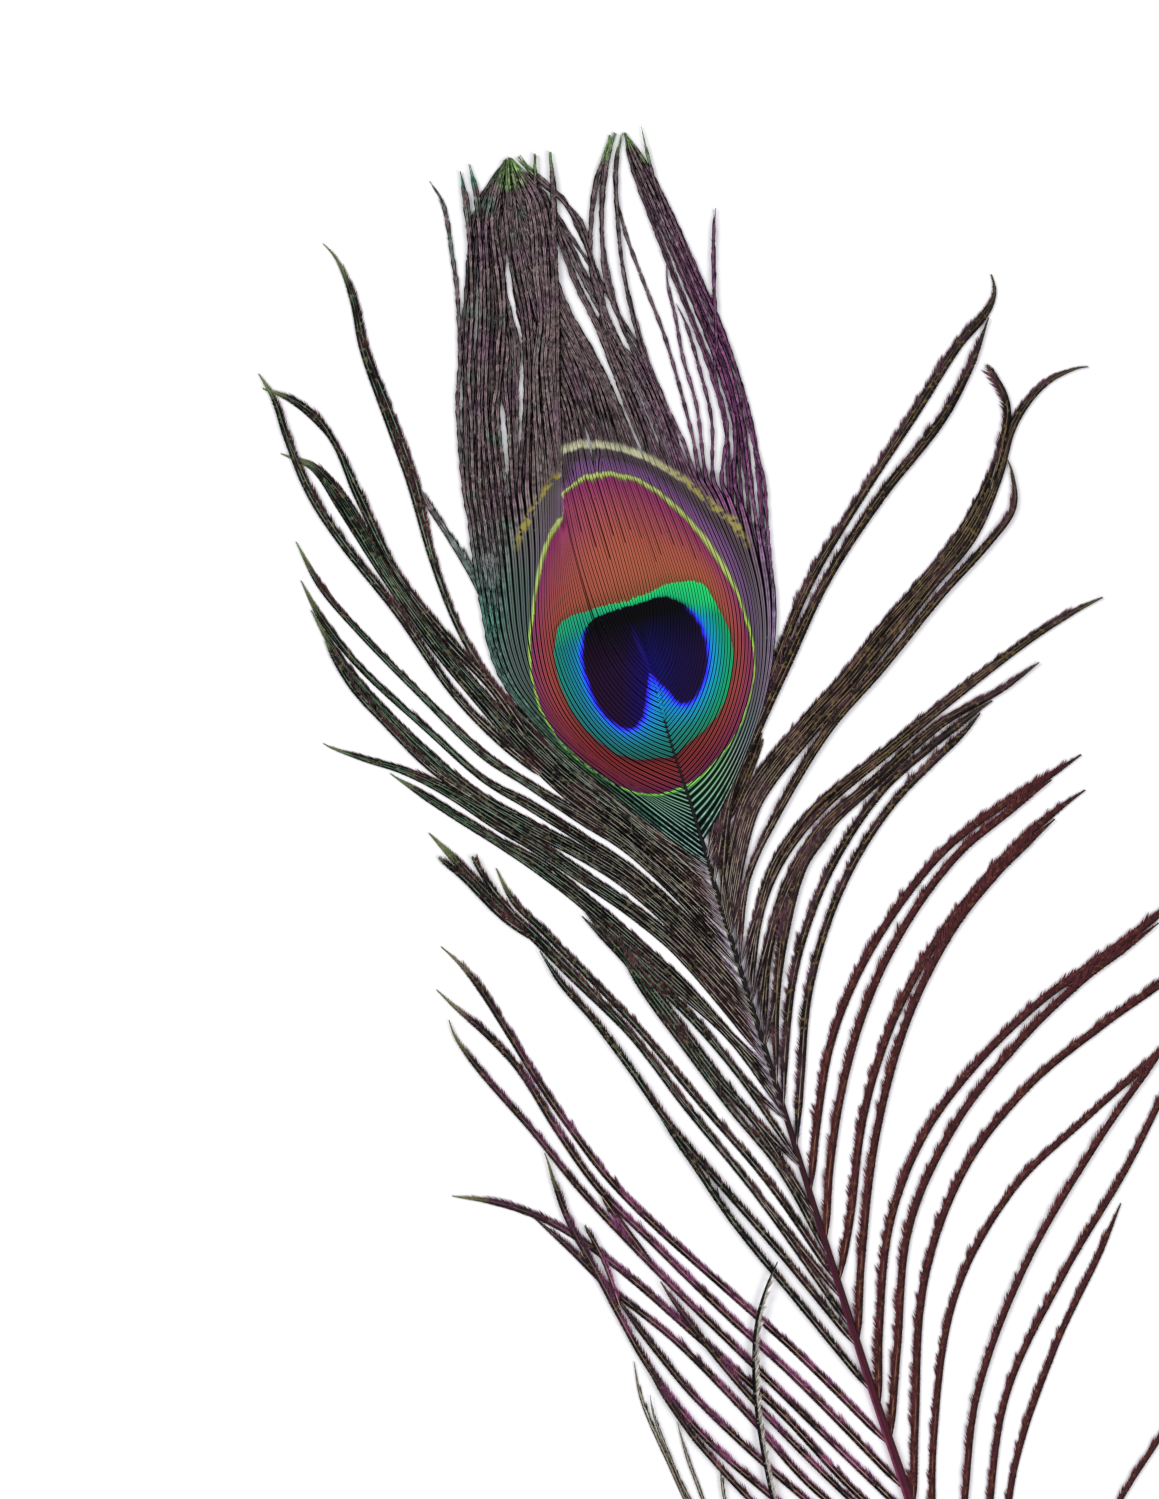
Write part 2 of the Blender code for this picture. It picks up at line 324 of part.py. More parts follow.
def halfway(barb, neighbour):
    """The way in the middle between two barbs, with a station for each of the shorter one's points."""
    stations = []
    count = min(len(barb), len(neighbour))
    for i in range(count):
        share = i / (count - 1)
        here = Vector(barb[round(share * (len(barb) - 1))])
        there = Vector(neighbour[round(share * (len(neighbour) - 1))])
        stations.append(here.lerp(there, 0.5))
    return stations


def sideways(stations):
    """The direction across the way at each station."""
    last = len(stations) - 1
    across = []
    for i in range(last + 1):
        along = stations[min(i + 1, last)].to_2d() - stations[max(i - 1, 0)].to_2d()
        along.normalize()
        across.append(Vector((-along.y, along.x)))
    return across


def ribbon_outline(stations, widen=0.0):
    """The closed outline of a way with its widths, up the right side and down the left side."""
    left, right = [], []
    for station, across in zip(stations, sideways(stations)):
        half = station.z / 2.0 + widen
        left.append(station.to_2d() + across * half)
        right.append(station.to_2d() - across * half)
    return right + left[::-1]


def ridge_share(point, stations):
    """How high a point stands on a lock: 1 on its ridge, LOCK_EDGE on its edge, 0 beside it."""
    best = 0.0
    last = len(stations) - 1
    for i in range(last):
        start, end = stations[i], stations[i + 1]
        run = end.to_2d() - start.to_2d()
        share = max(0.0, min(1.0, (point - start.to_2d()).dot(run) / run.length_squared))
        foot = start.lerp(end, share)
        aside = (point - foot.to_2d()).length / max(foot.z / 2.0, 0.05)
        if aside > BESIDE_LOCK:
            continue
        towards_tip = max(0.0, (i + share) / last - THINS_FROM) / (1.0 - THINS_FROM)
        ridge = 1.0 - (1.0 - LOCK_TIP) * towards_tip
        best = max(best, ridge * (1.0 - (1.0 - LOCK_EDGE) * min(aside, 1.0) ** 2))
    return best


def way_distance(point, stations):
    """How far a point lies from a way."""
    nearest = math.inf
    for start, end in zip(stations, stations[1:]):
        run = end.to_2d() - start.to_2d()
        share = max(0.0, min(1.0, (point - start.to_2d()).dot(run) / run.length_squared))
        nearest = min(nearest, (point - start.to_2d() - run * share).length)
    return nearest


def vane_height(point, ribs):
    """Height of the closed vane, crowned over the eye and ribbed along its barbs."""
    away = (point - Vector(EYE_CENTRE)).length / EYE_RADIUS
    crown = max(0.0, 1.0 - away * away)
    rib = max(0.0, 1.0 - min(way_distance(point, way) for way in ribs) / RIB_HALF_WIDTH)
    return VANE_EDGE + (VANE_HEIGHT - VANE_EDGE) * crown + RIB_HEIGHT * rib


# ---------------------------------------------------------------- solids

def new_object(name, mesh_builder, colour):
    """Turns a bmesh in millimetres into a named object with its own material."""
    bmesh.ops.scale(mesh_builder, vec=(MM, MM, MM), verts=mesh_builder.verts)
    bmesh.ops.recalc_face_normals(mesh_builder, faces=mesh_builder.faces)
    mesh = bpy.data.meshes.new(name)
    mesh_builder.to_mesh(mesh)
    mesh_builder.free()
    material = bpy.data.materials.new(name)
    material.use_nodes = True
    shader = material.node_tree.nodes["Principled BSDF"]
    shader.inputs["Base Color"].default_value = colour
    shader.inputs["Roughness"].default_value = 0.5
    mesh.materials.append(material)
    piece = bpy.data.objects.new(name, mesh)
    bpy.context.scene.collection.objects.link(piece)
    return piece


def plan_faces(outlines, ridges, cuts):
    """Triangles inside any outline and outside every cut, with an edge along each ridge."""
    points, edges, faces = [], [], []
    for outline in outlines + cuts:
        first = len(points)
        points.extend(outline)
        faces.append(list(range(first, len(points))))
    for ridge in ridges:
        first = len(points)
        points.extend(station.to_2d() for station in ridge)
        edges.extend((i, i + 1) for i in range(first, len(points) - 1))
    flat, _, triangles, _, _, owners = delaunay_2d_cdt(points, edges, faces, 1, SAME_POINT, True)
    kept = []
    for triangle, owner in zip(triangles, owners):
        inside = any(face < len(outlines) for face in owner)
        outside = any(face >= len(outlines) for face in owner)
        if inside and not outside:
            kept.append(triangle)
    return flat, kept


def drop_crumbs(plan):
    """Keeps the part of a plan with the most faces, because a cut can leave a crumb behind the shaft."""
    unseen = set(plan.faces)
    largest = []
    while unseen:
        group, front = [], [unseen.pop()]
        while front:
            face = front.pop()
            group.append(face)
            for edge in face.edges:
                for neighbour in edge.link_faces:
                    if neighbour in unseen:
                        unseen.remove(neighbour)
                        front.append(neighbour)
        if len(group) > len(largest):
            largest = group
    loose = [face for face in plan.faces if face not in set(largest)]
    bmesh.ops.delete(plan, geom=loose, context="FACES")


def plan_solid(name, outlines, ridges, cuts, top, floor, colour):
    """A closed solid that stands on its plan, with its top at the height that top(point) gives."""
    flat, triangles = plan_faces(outlines, ridges, cuts)
    plan = bmesh.new()
    corners = [plan.verts.new((point.x, point.y, floor)) for point in flat]
    for triangle in triangles:
        plan.faces.new([corners[i] for i in triangle])
    drop_crumbs(plan)
    bmesh.ops.delete(plan, geom=[vert for vert in plan.verts if not vert.link_faces], context="VERTS")
    raised = bmesh.ops.extrude_face_region(plan, geom=plan.faces[:], use_keep_orig=True)["geom"]
    for vert in raised:
        if isinstance(vert, bmesh.types.BMVert):
            vert.co.z = floor + top(vert.co.to_2d())
    return new_object(name, plan, colour)


def make_shaft():
    """The stem: a tapered rod with a flat underside, extruded along its way."""
    stations = smooth_way(SHAFT_WAY)
    builder = bmesh.new()
    section = SHAFT_SECTION + [(-side, height) for side, height in reversed(SHAFT_SECTION)]
    rings = []
    for station, across in zip(stations, sideways(stations)):
        width, tall = station.z, station.z * SHAFT_HEIGHT
        ring = []
        for side, height in section:
            spot = station.to_2d() - across * (side * width)
            ring.append(Vector((spot.x, spot.y, height * tall)))
        rings.append(ring)
    cut_end = [builder.verts.new(spot) for spot in rings[0]]
    face = builder.faces.new(cut_end)
    for ring in rings[1:]:
        face = bmesh.ops.extrude_discrete_faces(builder, faces=[face])["faces"][0]
        for vert, spot in zip(face.verts, ring):
            vert.co = spot
    builder.faces.new(cut_end)
    return new_object("shaft", builder, SHAFT_COLOUR)


def make_bundle(name, locks, cuts, colour):
    """One bundle of locks, which grow together where they cross."""
    ways = [smooth_way(lock) for lock in locks]

    def top(point):
        return LOCK_HEIGHT * max(LEAST_SHARE, max(ridge_share(point, way) for way in ways))

    outlines = [ribbon_outline(way) for way in ways]
    plan_solid(name, outlines, ways, cuts, top, 0.0, colour)
    return [ribbon_outline(way, GAP) for way in ways]


def make_eye_vane(cuts):
    """The closed vane with the crest locks that grow on past the eye."""
    ways = [smooth_way(lock) for lock in CREST]
    ribs = [smooth_way([(x, y, 0.0) for x, y in barb]) for barb in VANE_BARBS]
    valleys = [halfway(barb, neighbour) for barb, neighbour in zip(VANE_BARBS, VANE_BARBS[1:])]
    body = [Vector(point) for point in reversed(VANE_OUTLINE)]

    def top(point):
        lock = LOCK_HEIGHT * max(LEAST_SHARE, max(ridge_share(point, way) for way in ways))
        return max(lock, vane_height(point, ribs))

    outlines = [body] + [ribbon_outline(way) for way in ways]
    return plan_solid("eye_vane", outlines, ways + ribs + valleys, cuts, top, 0.0, VANE_COLOUR)


def make_crossing_barb(shaft_cut):
    """The loose barb on top of its neighbours, from the shaft's side to its tip."""
    way = smooth_way(CROSSING)

    def top(point):
        return CROSSING_HEIGHT * max(LEAST_SHARE, ridge_share(point, way))

    plan_solid("crossing_barb", [ribbon_outline(way)], [way], [shaft_cut], top, CROSSING_FLOOR, CROSSING_COLOUR)


def main():
    for old in list(bpy.data.objects):
        bpy.data.objects.remove(old, do_unlink=True)
    make_shaft()
    shaft_cut = ribbon_outline(smooth_way(SHAFT_WAY), GAP)
    cuts = [shaft_cut]
    for i, locks in enumerate(LEFT):
        cuts += make_bundle(f"left_tuft_{i + 1:02d}", locks, cuts, LEFT_COLOURS[i % 2])
    for i, locks in enumerate(RIGHT):
        cuts += make_bundle(f"right_tuft_{i + 1:02d}", locks, cuts, RIGHT_COLOURS[i % 2])
    make_eye_vane(cuts)
    make_crossing_barb(shaft_cut)


main()
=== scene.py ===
# %% [markdown]
# # A peacock train feather
# This lesson dresses a plain model of one peacock feather. The real thing is a stem, the rachis, that
# carries a few hundred barbs, and every barb carries two rows of tiny barbules. Round the eye the barbs lie
# side by side like a cloth, and everywhere else they hang loose. The colours are no paint: they come from
# fine layers in the barbules, so each barb changes its colour along its length.

# %% Load the frame and keep its box
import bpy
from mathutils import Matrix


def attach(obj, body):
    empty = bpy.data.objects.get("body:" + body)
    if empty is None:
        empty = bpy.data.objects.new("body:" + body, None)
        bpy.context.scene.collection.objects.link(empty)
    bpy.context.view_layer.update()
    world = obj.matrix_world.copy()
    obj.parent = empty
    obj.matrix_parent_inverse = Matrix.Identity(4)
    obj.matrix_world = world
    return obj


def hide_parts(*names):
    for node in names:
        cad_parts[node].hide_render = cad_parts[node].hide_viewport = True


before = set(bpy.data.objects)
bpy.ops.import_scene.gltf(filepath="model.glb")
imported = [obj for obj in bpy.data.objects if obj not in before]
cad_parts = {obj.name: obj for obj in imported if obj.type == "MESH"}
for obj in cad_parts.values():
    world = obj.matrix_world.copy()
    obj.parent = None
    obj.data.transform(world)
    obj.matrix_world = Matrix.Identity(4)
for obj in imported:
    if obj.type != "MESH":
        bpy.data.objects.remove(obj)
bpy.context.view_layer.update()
print("nodes:", len(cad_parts))

# %% Tools of this lesson
import math

import bpy
import numpy as np

MM = 0.001
chance = np.random.default_rng(7)        # the one source of small irregularities, the same in every run

# %% [markdown]
# ## Floor, light and camera
# The photograph looks like a scan, taken from straight above against white. So the floor is a pale sheet
# with its edge turned up, the light is soft and comes from two sides, and the camera looks straight down
# through a long lens, because a scanner's picture has almost no perspective.

# %% Node and colour helpers
def linear(hex_colour):
    """An sRGB hex colour as linear red, green, blue and alpha."""
    channels = [int(hex_colour[i:i + 2], 16) / 255 for i in (1, 3, 5)]
    return [c / 12.92 if c <= 0.04045 else ((c + 0.055) / 1.055) ** 2.4 for c in channels] + [1.0]


def add(tree, kind, links=(), get=0, **settings):
    """Adds one node and gives its first output, or the one that get names.

    Links are (socket, output) pairs, in_X is the value of socket X, and stops are the places and colours of
    a ramp."""
    node = tree.nodes.new("ShaderNode" + kind)
    for name, value in settings.items():
        if name.startswith("in_"):
            key = name[3:].replace("_", " ")
            socket = node.inputs[int(key) if key.isdigit() else key]
            socket.default_value = linear(value) if isinstance(value, str) else value
        elif name == "stops":
            ramp = node.color_ramp
            while len(ramp.elements) < len(value):
                ramp.elements.new(0.5)
            for element, (place, colour) in zip(ramp.elements, value):
                element.position = place
                element.color = linear(colour)
        else:
            setattr(node, name, value)
    for socket, output in links:
        tree.links.new(output, node.inputs[socket])
    return None if get is None else node.outputs[get]


BLEND = {"data_type": "RGBA", "get": 2}      # mixes sockets 6 and 7 by the share in socket 0


def new_material(name):
    """An empty material and its node tree."""
    material = bpy.data.materials.new(name)
    material.use_nodes = True
    material.node_tree.nodes.clear()
    return material, material.node_tree


def surface(tree, colour, roughness, gloss):
    """Closes a material with its shader, which takes its colour from an output."""
    shader = add(tree, "BsdfPrincipled", [("Base Color", colour)], in_Roughness=roughness,
                 in_Specular_IOR_Level=gloss)
    add(tree, "OutputMaterial", [("Surface", shader)], get=None)


# %% The floor
bpy.ops.object.select_all(action="DESELECT")
bpy.ops.mesh.primitive_plane_add(size=3.0, location=(-0.02, 0.01, 0.0))
floor = bpy.context.object
floor.name = "floor"
bpy.ops.object.mode_set(mode="EDIT")
bpy.ops.mesh.select_all(action="SELECT")
bpy.ops.mesh.extrude_edges_move(TRANSFORM_OT_translate={"value": (0, 0, 0.02)})
bpy.ops.object.mode_set(mode="OBJECT")
bpy.ops.object.transform_apply(location=True, rotation=True, scale=True)
paper, tree = new_material("floor_paper")
tone = add(tree, "TexNoise", [(0, add(tree, "TexCoord", get="Object"))], in_Scale=6.0, in_Detail=2.0)
tint = add(tree, "ValToRGB", [(0, tone)], stops=[(0.3, "#f6f5f8"), (0.7, "#f9f8fb")])
surface(tree, tint, roughness=0.9, gloss=0.0)
floor.data.materials.append(paper)

# %% Light and camera
world = bpy.data.worlds.new("studio")
bpy.context.scene.world = world
world.use_nodes = True
world.node_tree.nodes["Background"].inputs["Color"].default_value = (1.0, 1.0, 1.0, 1.0)
world.node_tree.nodes["Background"].inputs["Strength"].default_value = 0.55
bpy.context.scene.view_settings.view_transform = "Standard"
bpy.context.scene.view_settings.look = "None"

for name, place, power in (("lamp_left", (-1.1, 0.7, 1.3), 17.0), ("lamp_right", (1.1, -0.6, 1.4), 14.0)):
    lamp = bpy.data.lights.new(name, "AREA")
    lamp.shape = "SQUARE"
    lamp.size = 0.9
    lamp.energy = power
    lamp_object = bpy.data.objects.new(name, lamp)
    bpy.context.scene.collection.objects.link(lamp_object)
    lamp_object.location = place
    aim = math.atan2(place[1], place[0])
    lamp_object.rotation_euler = (0.0, math.atan2(math.hypot(place[0], place[1]), place[2]), aim)

FRAME_TALL = 279.2                 # millimetres that the picture shows from top to bottom
FRAME_MIDDLE = (-20.6, 9.4)        # the middle of the picture in the frame's millimetres
FEATHER_LEVEL = 0.0008             # metres above the floor at which the picture has its scale
camera_data = bpy.data.cameras.new("camera")
camera_data.sensor_fit = "VERTICAL"
camera_data.sensor_height = 36.0
camera_data.lens = 200.0
camera_data.clip_start = 0.05
camera_data.clip_end = 20.0
camera = bpy.data.objects.new("camera", camera_data)
bpy.context.scene.collection.objects.link(camera)
away = FRAME_TALL * MM * camera_data.lens / camera_data.sensor_height
camera.location = (FRAME_MIDDLE[0] * MM, FRAME_MIDDLE[1] * MM, away + FEATHER_LEVEL)
bpy.context.scene.camera = camera
print("camera height in m:", round(camera.location.z, 3))

# %% [markdown]
# ## The ways of the barbs
# A barb is a curved line with things along it, so its way comes first: a few points, smoothed by the same
# rule as in the plain model, with a station every millimetre or less. Everything along a barb is then
# placed by how far it is up the way and how far beside it.

# %% Tables: the stem, and the locks with their barbs
SHAFT_WAY = [
    (67.6, -225, 2.30), (63.8, -210, 2.25), (58.4, -190, 2.18), (52.8, -170, 2.08), (46.9, -150, 1.96),
    (40.8, -130.2, 1.82), (34.3, -111, 1.58), (27.6, -90, 1.38), (21.3, -70, 1.18), (15.1, -50, 1.05),
    (12, -40, 1.00), (8.9, -30, 0.97), (5.7, -19.6, 0.94), (2.8, -9.6, 0.92), (-0.1, 0, 0.90),
    (-2.1, 6, 0.86), (-4.8, 14.9, 0.80), (-6.8, 24.2, 0.72), (-9, 31.5, 0.60),
]
CREST = {
    0: [(-35, 29, 2.4), (-39.6, 39.8, 2.2), (-45, 49.2, 2), (-48.5, 54.6, 1.6), (-50.4, 58.4, 0.5)],
    2: [(-41, 96, 1.6), (-40.9, 104, 1.6), (-41.4, 111, 1.6), (-42.8, 116.8, 0.5)],
    3: [(-39.2, 104, 1.6), (-39.4, 112, 1.6), (-41, 118.4, 0.5)],
    4: [(-37.9, 107, 1.4), (-37.4, 112.5, 1.3), (-36.7, 116.3, 0.4)],
    5: [(-29.2, 109, 1.4), (-28.8, 115, 1.4), (-28.8, 120.2, 0.4)],
    6: [(-25.5, 100, 1.8), (-25.4, 113, 1.8), (-25.9, 120.7, 0.8)],
    8: [(-17, 96, 1.8), (-20.8, 107.1, 1.5), (-24.1, 112, 1.5), (-28.5, 115.8, 1.3), (-32.1, 119.8, 0.5)],
    9: [(-14.5, 87, 1.6), (-18.2, 97, 1.6), (-18.6, 105, 1.6), (-17.8, 114, 1.6), (-15.9, 120.7, 1.4),
        (-14.9, 123.9, 0.5)],
    10: [(-12, 87, 1.5), (-15.4, 97, 1.5), (-16.4, 106.8, 1.5), (-15.9, 116.6, 1.5), (-14, 124.4, 0.5)],
    11: [(-6, 76, 1.6), (-9.9, 87.3, 1.5), (-12.5, 99.1, 1.5), (-13.6, 109.4, 1.5), (-13.6, 118.7, 1.4),
         (-12.6, 124.2, 0.5)],
    12: [(0.2, 68, 1.6), (-4.6, 85.7, 1.5), (-8.7, 96, 1.5), (-12.1, 105.3, 1.4), (-13.9, 112.6, 1.2)],
    13: [(3, 60, 1.8), (1.1, 73.4, 1.7), (-1.5, 82.5, 1.6), (-3, 89.3, 1.5), (-4.2, 96.4, 1.3),
         (-4.6, 99.6, 0.5)],
    14: [(5.6, 57, 1.8), (4, 71, 1.6), (1.1, 81.6, 1.5), (-1.2, 88.6, 1.3), (-2.5, 92.4, 0.5)],
    16: [(-4.6, 109, 1.8), (-6.6, 115.1, 1.7), (-8, 120.5, 1.5), (-9.1, 125.5, 0.5)],
    17: [(5, 84, 1.8), (4.6, 92.9, 1.6), (4.3, 99.1, 1.5), (4.4, 105.3, 1.4), (4.8, 110.3, 0.5)],
}

LEFT = [
    [[(4.1, -14, 2), (-5, -7.6, 2.2), (-14, -0.4, 2.2), (-23, 7, 2.2), (-30.4, 14.2, 2),
      (-37.6, 22.6, 1.8), (-43.4, 33, 1.7), (-48, 45, 1.7), (-51.6, 59, 2.4), (-55.9, 71, 2.6),
      (-60.8, 84, 2.2), (-62.8, 93.6, 1.8), (-65.9, 100.8, 1.4), (-68.9, 104.2, 0.5)]],
    [[(6.3, -21.5, 5.6), (-4, -12, 5.4), (-13, -4.6, 5), (-22, 2, 4.6), (-30, 9.2, 4.4),
      (-38.4, 18.4, 3.6), (-47.5, 29.5, 3.4), (-56.9, 42.6, 3.4), (-64.6, 55, 3.4), (-70, 61.8, 2.4),
      (-74.7, 63.9, 1.6), (-77, 64.8, 0.5)],
     [(-30, 11.6, 2), (-36.9, 21, 2), (-45, 29.6, 1.8), (-54.6, 42.2, 1.8), (-61.6, 56.5, 1.9),
      (-66.2, 66.5, 1.9), (-70.1, 71.6, 1.8), (-74.7, 74.8, 1.6), (-80.4, 76.9, 0.5)],
     [(-27, 4.2, 1.8), (-35.3, 10.9, 1.8), (-44.2, 20.2, 1.8), (-54.6, 35.1, 1.8), (-65, 48, 1.9),
      (-70.9, 57.4, 1.9), (-75.3, 68, 1.6), (-77.4, 74.4, 1.5), (-80.8, 80.1, 0.5)]],
    [[(8.4, -28.5, 3.2), (-2, -17.4, 3.2), (-11.6, -8.8, 2.8), (-20, -3.2, 2.8), (-30, 2.9, 2.2),
      (-38.6, 8.6, 2), (-50, 19.4, 1.8), (-61.9, 31.4, 1.8), (-69, 40, 1.7), (-73.8, 48.8, 0.5)]],
    [[(10.3, -34.4, 2.6), (-2.6, -20.8, 2.6), (-12, -12.4, 2.4), (-20, -7.2, 2.4), (-30, -1, 2.2),
      (-38.6, 3.8, 2), (-48.8, 13, 1.8), (-61.2, 24.6, 1.8), (-68.6, 34, 1.7), (-72.9, 41.6, 0.5)]],
    [[(11.6, -38.6, 3.2), (-2, -23.9, 3.4), (-12, -15.3, 3.2), (-20, -10.3, 3.2), (-30, -4.8, 3.2),
      (-40, 1.2, 3), (-50.3, 9.8, 2.4), (-59.6, 19.6, 2), (-67, 29, 1.7), (-71, 36, 0.5)],
     [(-40, 0.2, 1.8), (-48.4, 6, 1.8), (-57, 14.4, 1.8), (-63, 21.5, 1.7), (-68.4, 30.3, 0.5)]],
    [[(13.6, -45, 3), (-1, -29, 3.6), (-10, -21.2, 3.4), (-20, -14.2, 3.2), (-28, -8.9, 3.4),
      (-36, -4, 3.6), (-44, 1, 3), (-52, 4.8, 2.2), (-61, 7.8, 1.8), (-66.6, 9.6, 1.5), (-69, 10.9, 0.5)]],
    [[(16.6, -55, 2), (8, -44.6, 2.6), (-2, -34.6, 3.6), (-11, -26.6, 3.6), (-20, -18.8, 3.8),
      (-28, -12.6, 3.2), (-36, -7.6, 2.4), (-43, -3.4, 2), (-49.6, 0.9, 1.8), (-54.6, 4, 1.2),
      (-56.5, 5.4, 0.5)],
     [(19.6, -64.4, 1.6), (10.4, -52.6, 1.9), (2, -42.4, 2), (-7, -33.2, 2.4), (-16, -23.8, 2.4)],
     [(22.1, -72.6, 1.4), (13.6, -61.4, 1.8), (4.4, -50.8, 2), (-5.1, -37.8, 2), (-13, -28.6, 2),
      (-20.4, -20.8, 2.2)],
     [(25.7, -84, 1.4), (17, -69, 1.7), (7.6, -57.6, 1.8), (-1, -45.6, 1.9), (-7.4, -36.8, 1.8),
      (-13, -28.6, 1.6)]],
    [[(27.6, -90, 1.4), (14.6, -71.6, 1.8), (1.4, -55.6, 1.9), (-9.8, -42.6, 1.9), (-21, -30.8, 2.2),
      (-28.2, -23.6, 1.9), (-33, -18.6, 1.7), (-36.5, -12, 0.5)],
     [(29.6, -96.2, 1.4), (12.8, -73.9, 1.8), (-1, -57, 1.9), (-10.9, -44, 1.9), (-22, -32.4, 2.2),
      (-30, -24.6, 2), (-37.2, -18, 1.9), (-44.1, -10.9, 1.8), (-49.2, -5.6, 0.5)],
     [(-28, -26.6, 1.8), (-34.9, -21.8, 1.7), (-42.6, -14.1, 1.6), (-47.5, -10.2, 0.5)],
     [(-32, -22, 1.6), (-36.2, -17.4, 1.6), (-38.8, -13.6, 1.5), (-41, -9.8, 0.5)],
     [(31.4, -102, 1.4), (17.4, -85.2, 1.8), (4.6, -70.6, 1.8), (-3.8, -60.6, 1.8), (-11, -50, 2),
      (-18, -41, 2.2), (-24, -34, 2.2), (-28.6, -27.6, 1.8)],
     [(34.1, -110.4, 1.4), (19.6, -93, 1.8), (8, -78.6, 1.8), (-0.4, -66.4, 1.8), (-6, -58.4, 1.6)]],
    [[(37.5, -120.6, 1.4), (20, -103.4, 1.8), (6, -90.6, 1.9), (-7, -79, 1.9), (-15.4, -70.2, 1.9),
      (-23.2, -60, 2), (-28.8, -51.6, 1.9), (-34, -43, 1.8), (-39.4, -34.7, 1.6), (-43, -30.4, 1.3),
      (-47, -26.8, 0.4)],
     [(40.5, -129.2, 1.4), (20, -108.2, 1.8), (6, -95.4, 1.9), (-7.5, -81.8, 1.9), (-17, -72.4, 1.9),
      (-24.8, -61.4, 2), (-32, -50.4, 1.8), (-38.5, -43.2, 1.7), (-43.9, -38.5, 1.6), (-47.8, -34.8, 0.4)],
     [(42.3, -135, 1.4), (26.4, -119.5, 1.8), (9, -102.8, 1.8), (-6.3, -87.4, 1.8), (-20, -72.9, 1.8),
      (-29.6, -61.4, 1.8), (-37.9, -52, 1.8), (-43.5, -44.6, 1.6), (-45.2, -40.2, 0.4)],
     [(-17, -73, 1.6), (-12.3, -80, 1.8), (-7, -86.6, 1.6)]],
    [[(43.8, -140, 1.4), (31, -129.2, 1.8), (16.4, -113.6, 1.8), (1.4, -100.1, 1.9),
      (-13.6, -86.9, 1.9), (-24.6, -79.5, 1.9), (-34.8, -75.2, 1.7), (-45.1, -73.7, 0.4)],
     [(45.2, -144.6, 1.4), (23.8, -128.8, 1.8), (10.1, -113.8, 1.8), (-2.7, -100.8, 1.8),
      (-15.4, -90.5, 1.8), (-22.7, -83.3, 1.5), (-29.8, -77.2, 0.8)],
     [(46.6, -149, 1.4), (30.7, -137.6, 1.6), (16, -125.4, 1.8), (1, -111.5, 1.8), (-6.8, -101.9, 1.6),
      (-14.4, -91.8, 1.2)],
     [(47.7, -152.6, 1.4), (28.1, -139.6, 1.6), (12.3, -127.4, 1.8), (1, -116.9, 1.8),
      (-7.7, -105.6, 1.6), (-13.2, -96, 1.4), (-17.3, -88.2, 1.3), (-22.3, -79.1, 1.2),
      (-25.4, -71, 1.1), (-26.4, -67.6, 0.9), (-27.4, -65, 0.4)],
     [(-12.6, -95.6, 1.3), (-16, -86, 1.2), (-20, -78.5, 0.4)],
     [(49.1, -157.6, 1.4), (31.5, -147.4, 1.6), (14.1, -133.4, 1.7), (2.3, -120.6, 1.7),
      (-3.6, -112.6, 1.6), (-9.1, -103.7, 1.4)],
     [(44.5, -142.2, 1.4), (31.5, -131.6, 1.6), (20, -120.6, 1.7), (11.6, -111.8, 1.7),
      (4.5, -103.2, 1.7), (-2.2, -94.3, 1.7), (-6, -89, 1.5)]],
    [[(53.4, -172, 1.3), (35.8, -165, 1.4), (16.6, -151, 1.5), (2.6, -136.4, 1.5), (-4.5, -122.4, 1.4),
      (-9.1, -111.5, 1.3), (-10.6, -103.8, 0.4)],
     [(56.9, -184.6, 1.3), (38.1, -172, 1.4), (18.7, -155, 1.4), (6, -138, 1.4), (0, -124, 1.2),
      (-1.9, -117.8, 0.8), (-2.5, -115.1, 0.4)],
     [(34, -169, 1.2), (18, -156, 1.2), (6.4, -140, 1.2), (-0.4, -129.7, 1.1), (-4.5, -120.6, 0.9),
      (-7, -113.8, 0.7), (-7.5, -110, 0.3)],
     [(20, -155.6, 1.2), (10.6, -142, 1.2), (6.4, -130.2, 0.8), (5.6, -123.3, 0.3)]],
    [[(58.6, -190.6, 1.3), (40.3, -182, 1.4), (24.8, -169, 1.4), (14.5, -158, 1.2), (9, -149, 0.5)]],
    [[(61, -199.6, 1.3), (44.4, -191, 1.4), (30.8, -179, 1.3), (21, -169, 0.5)]],
]

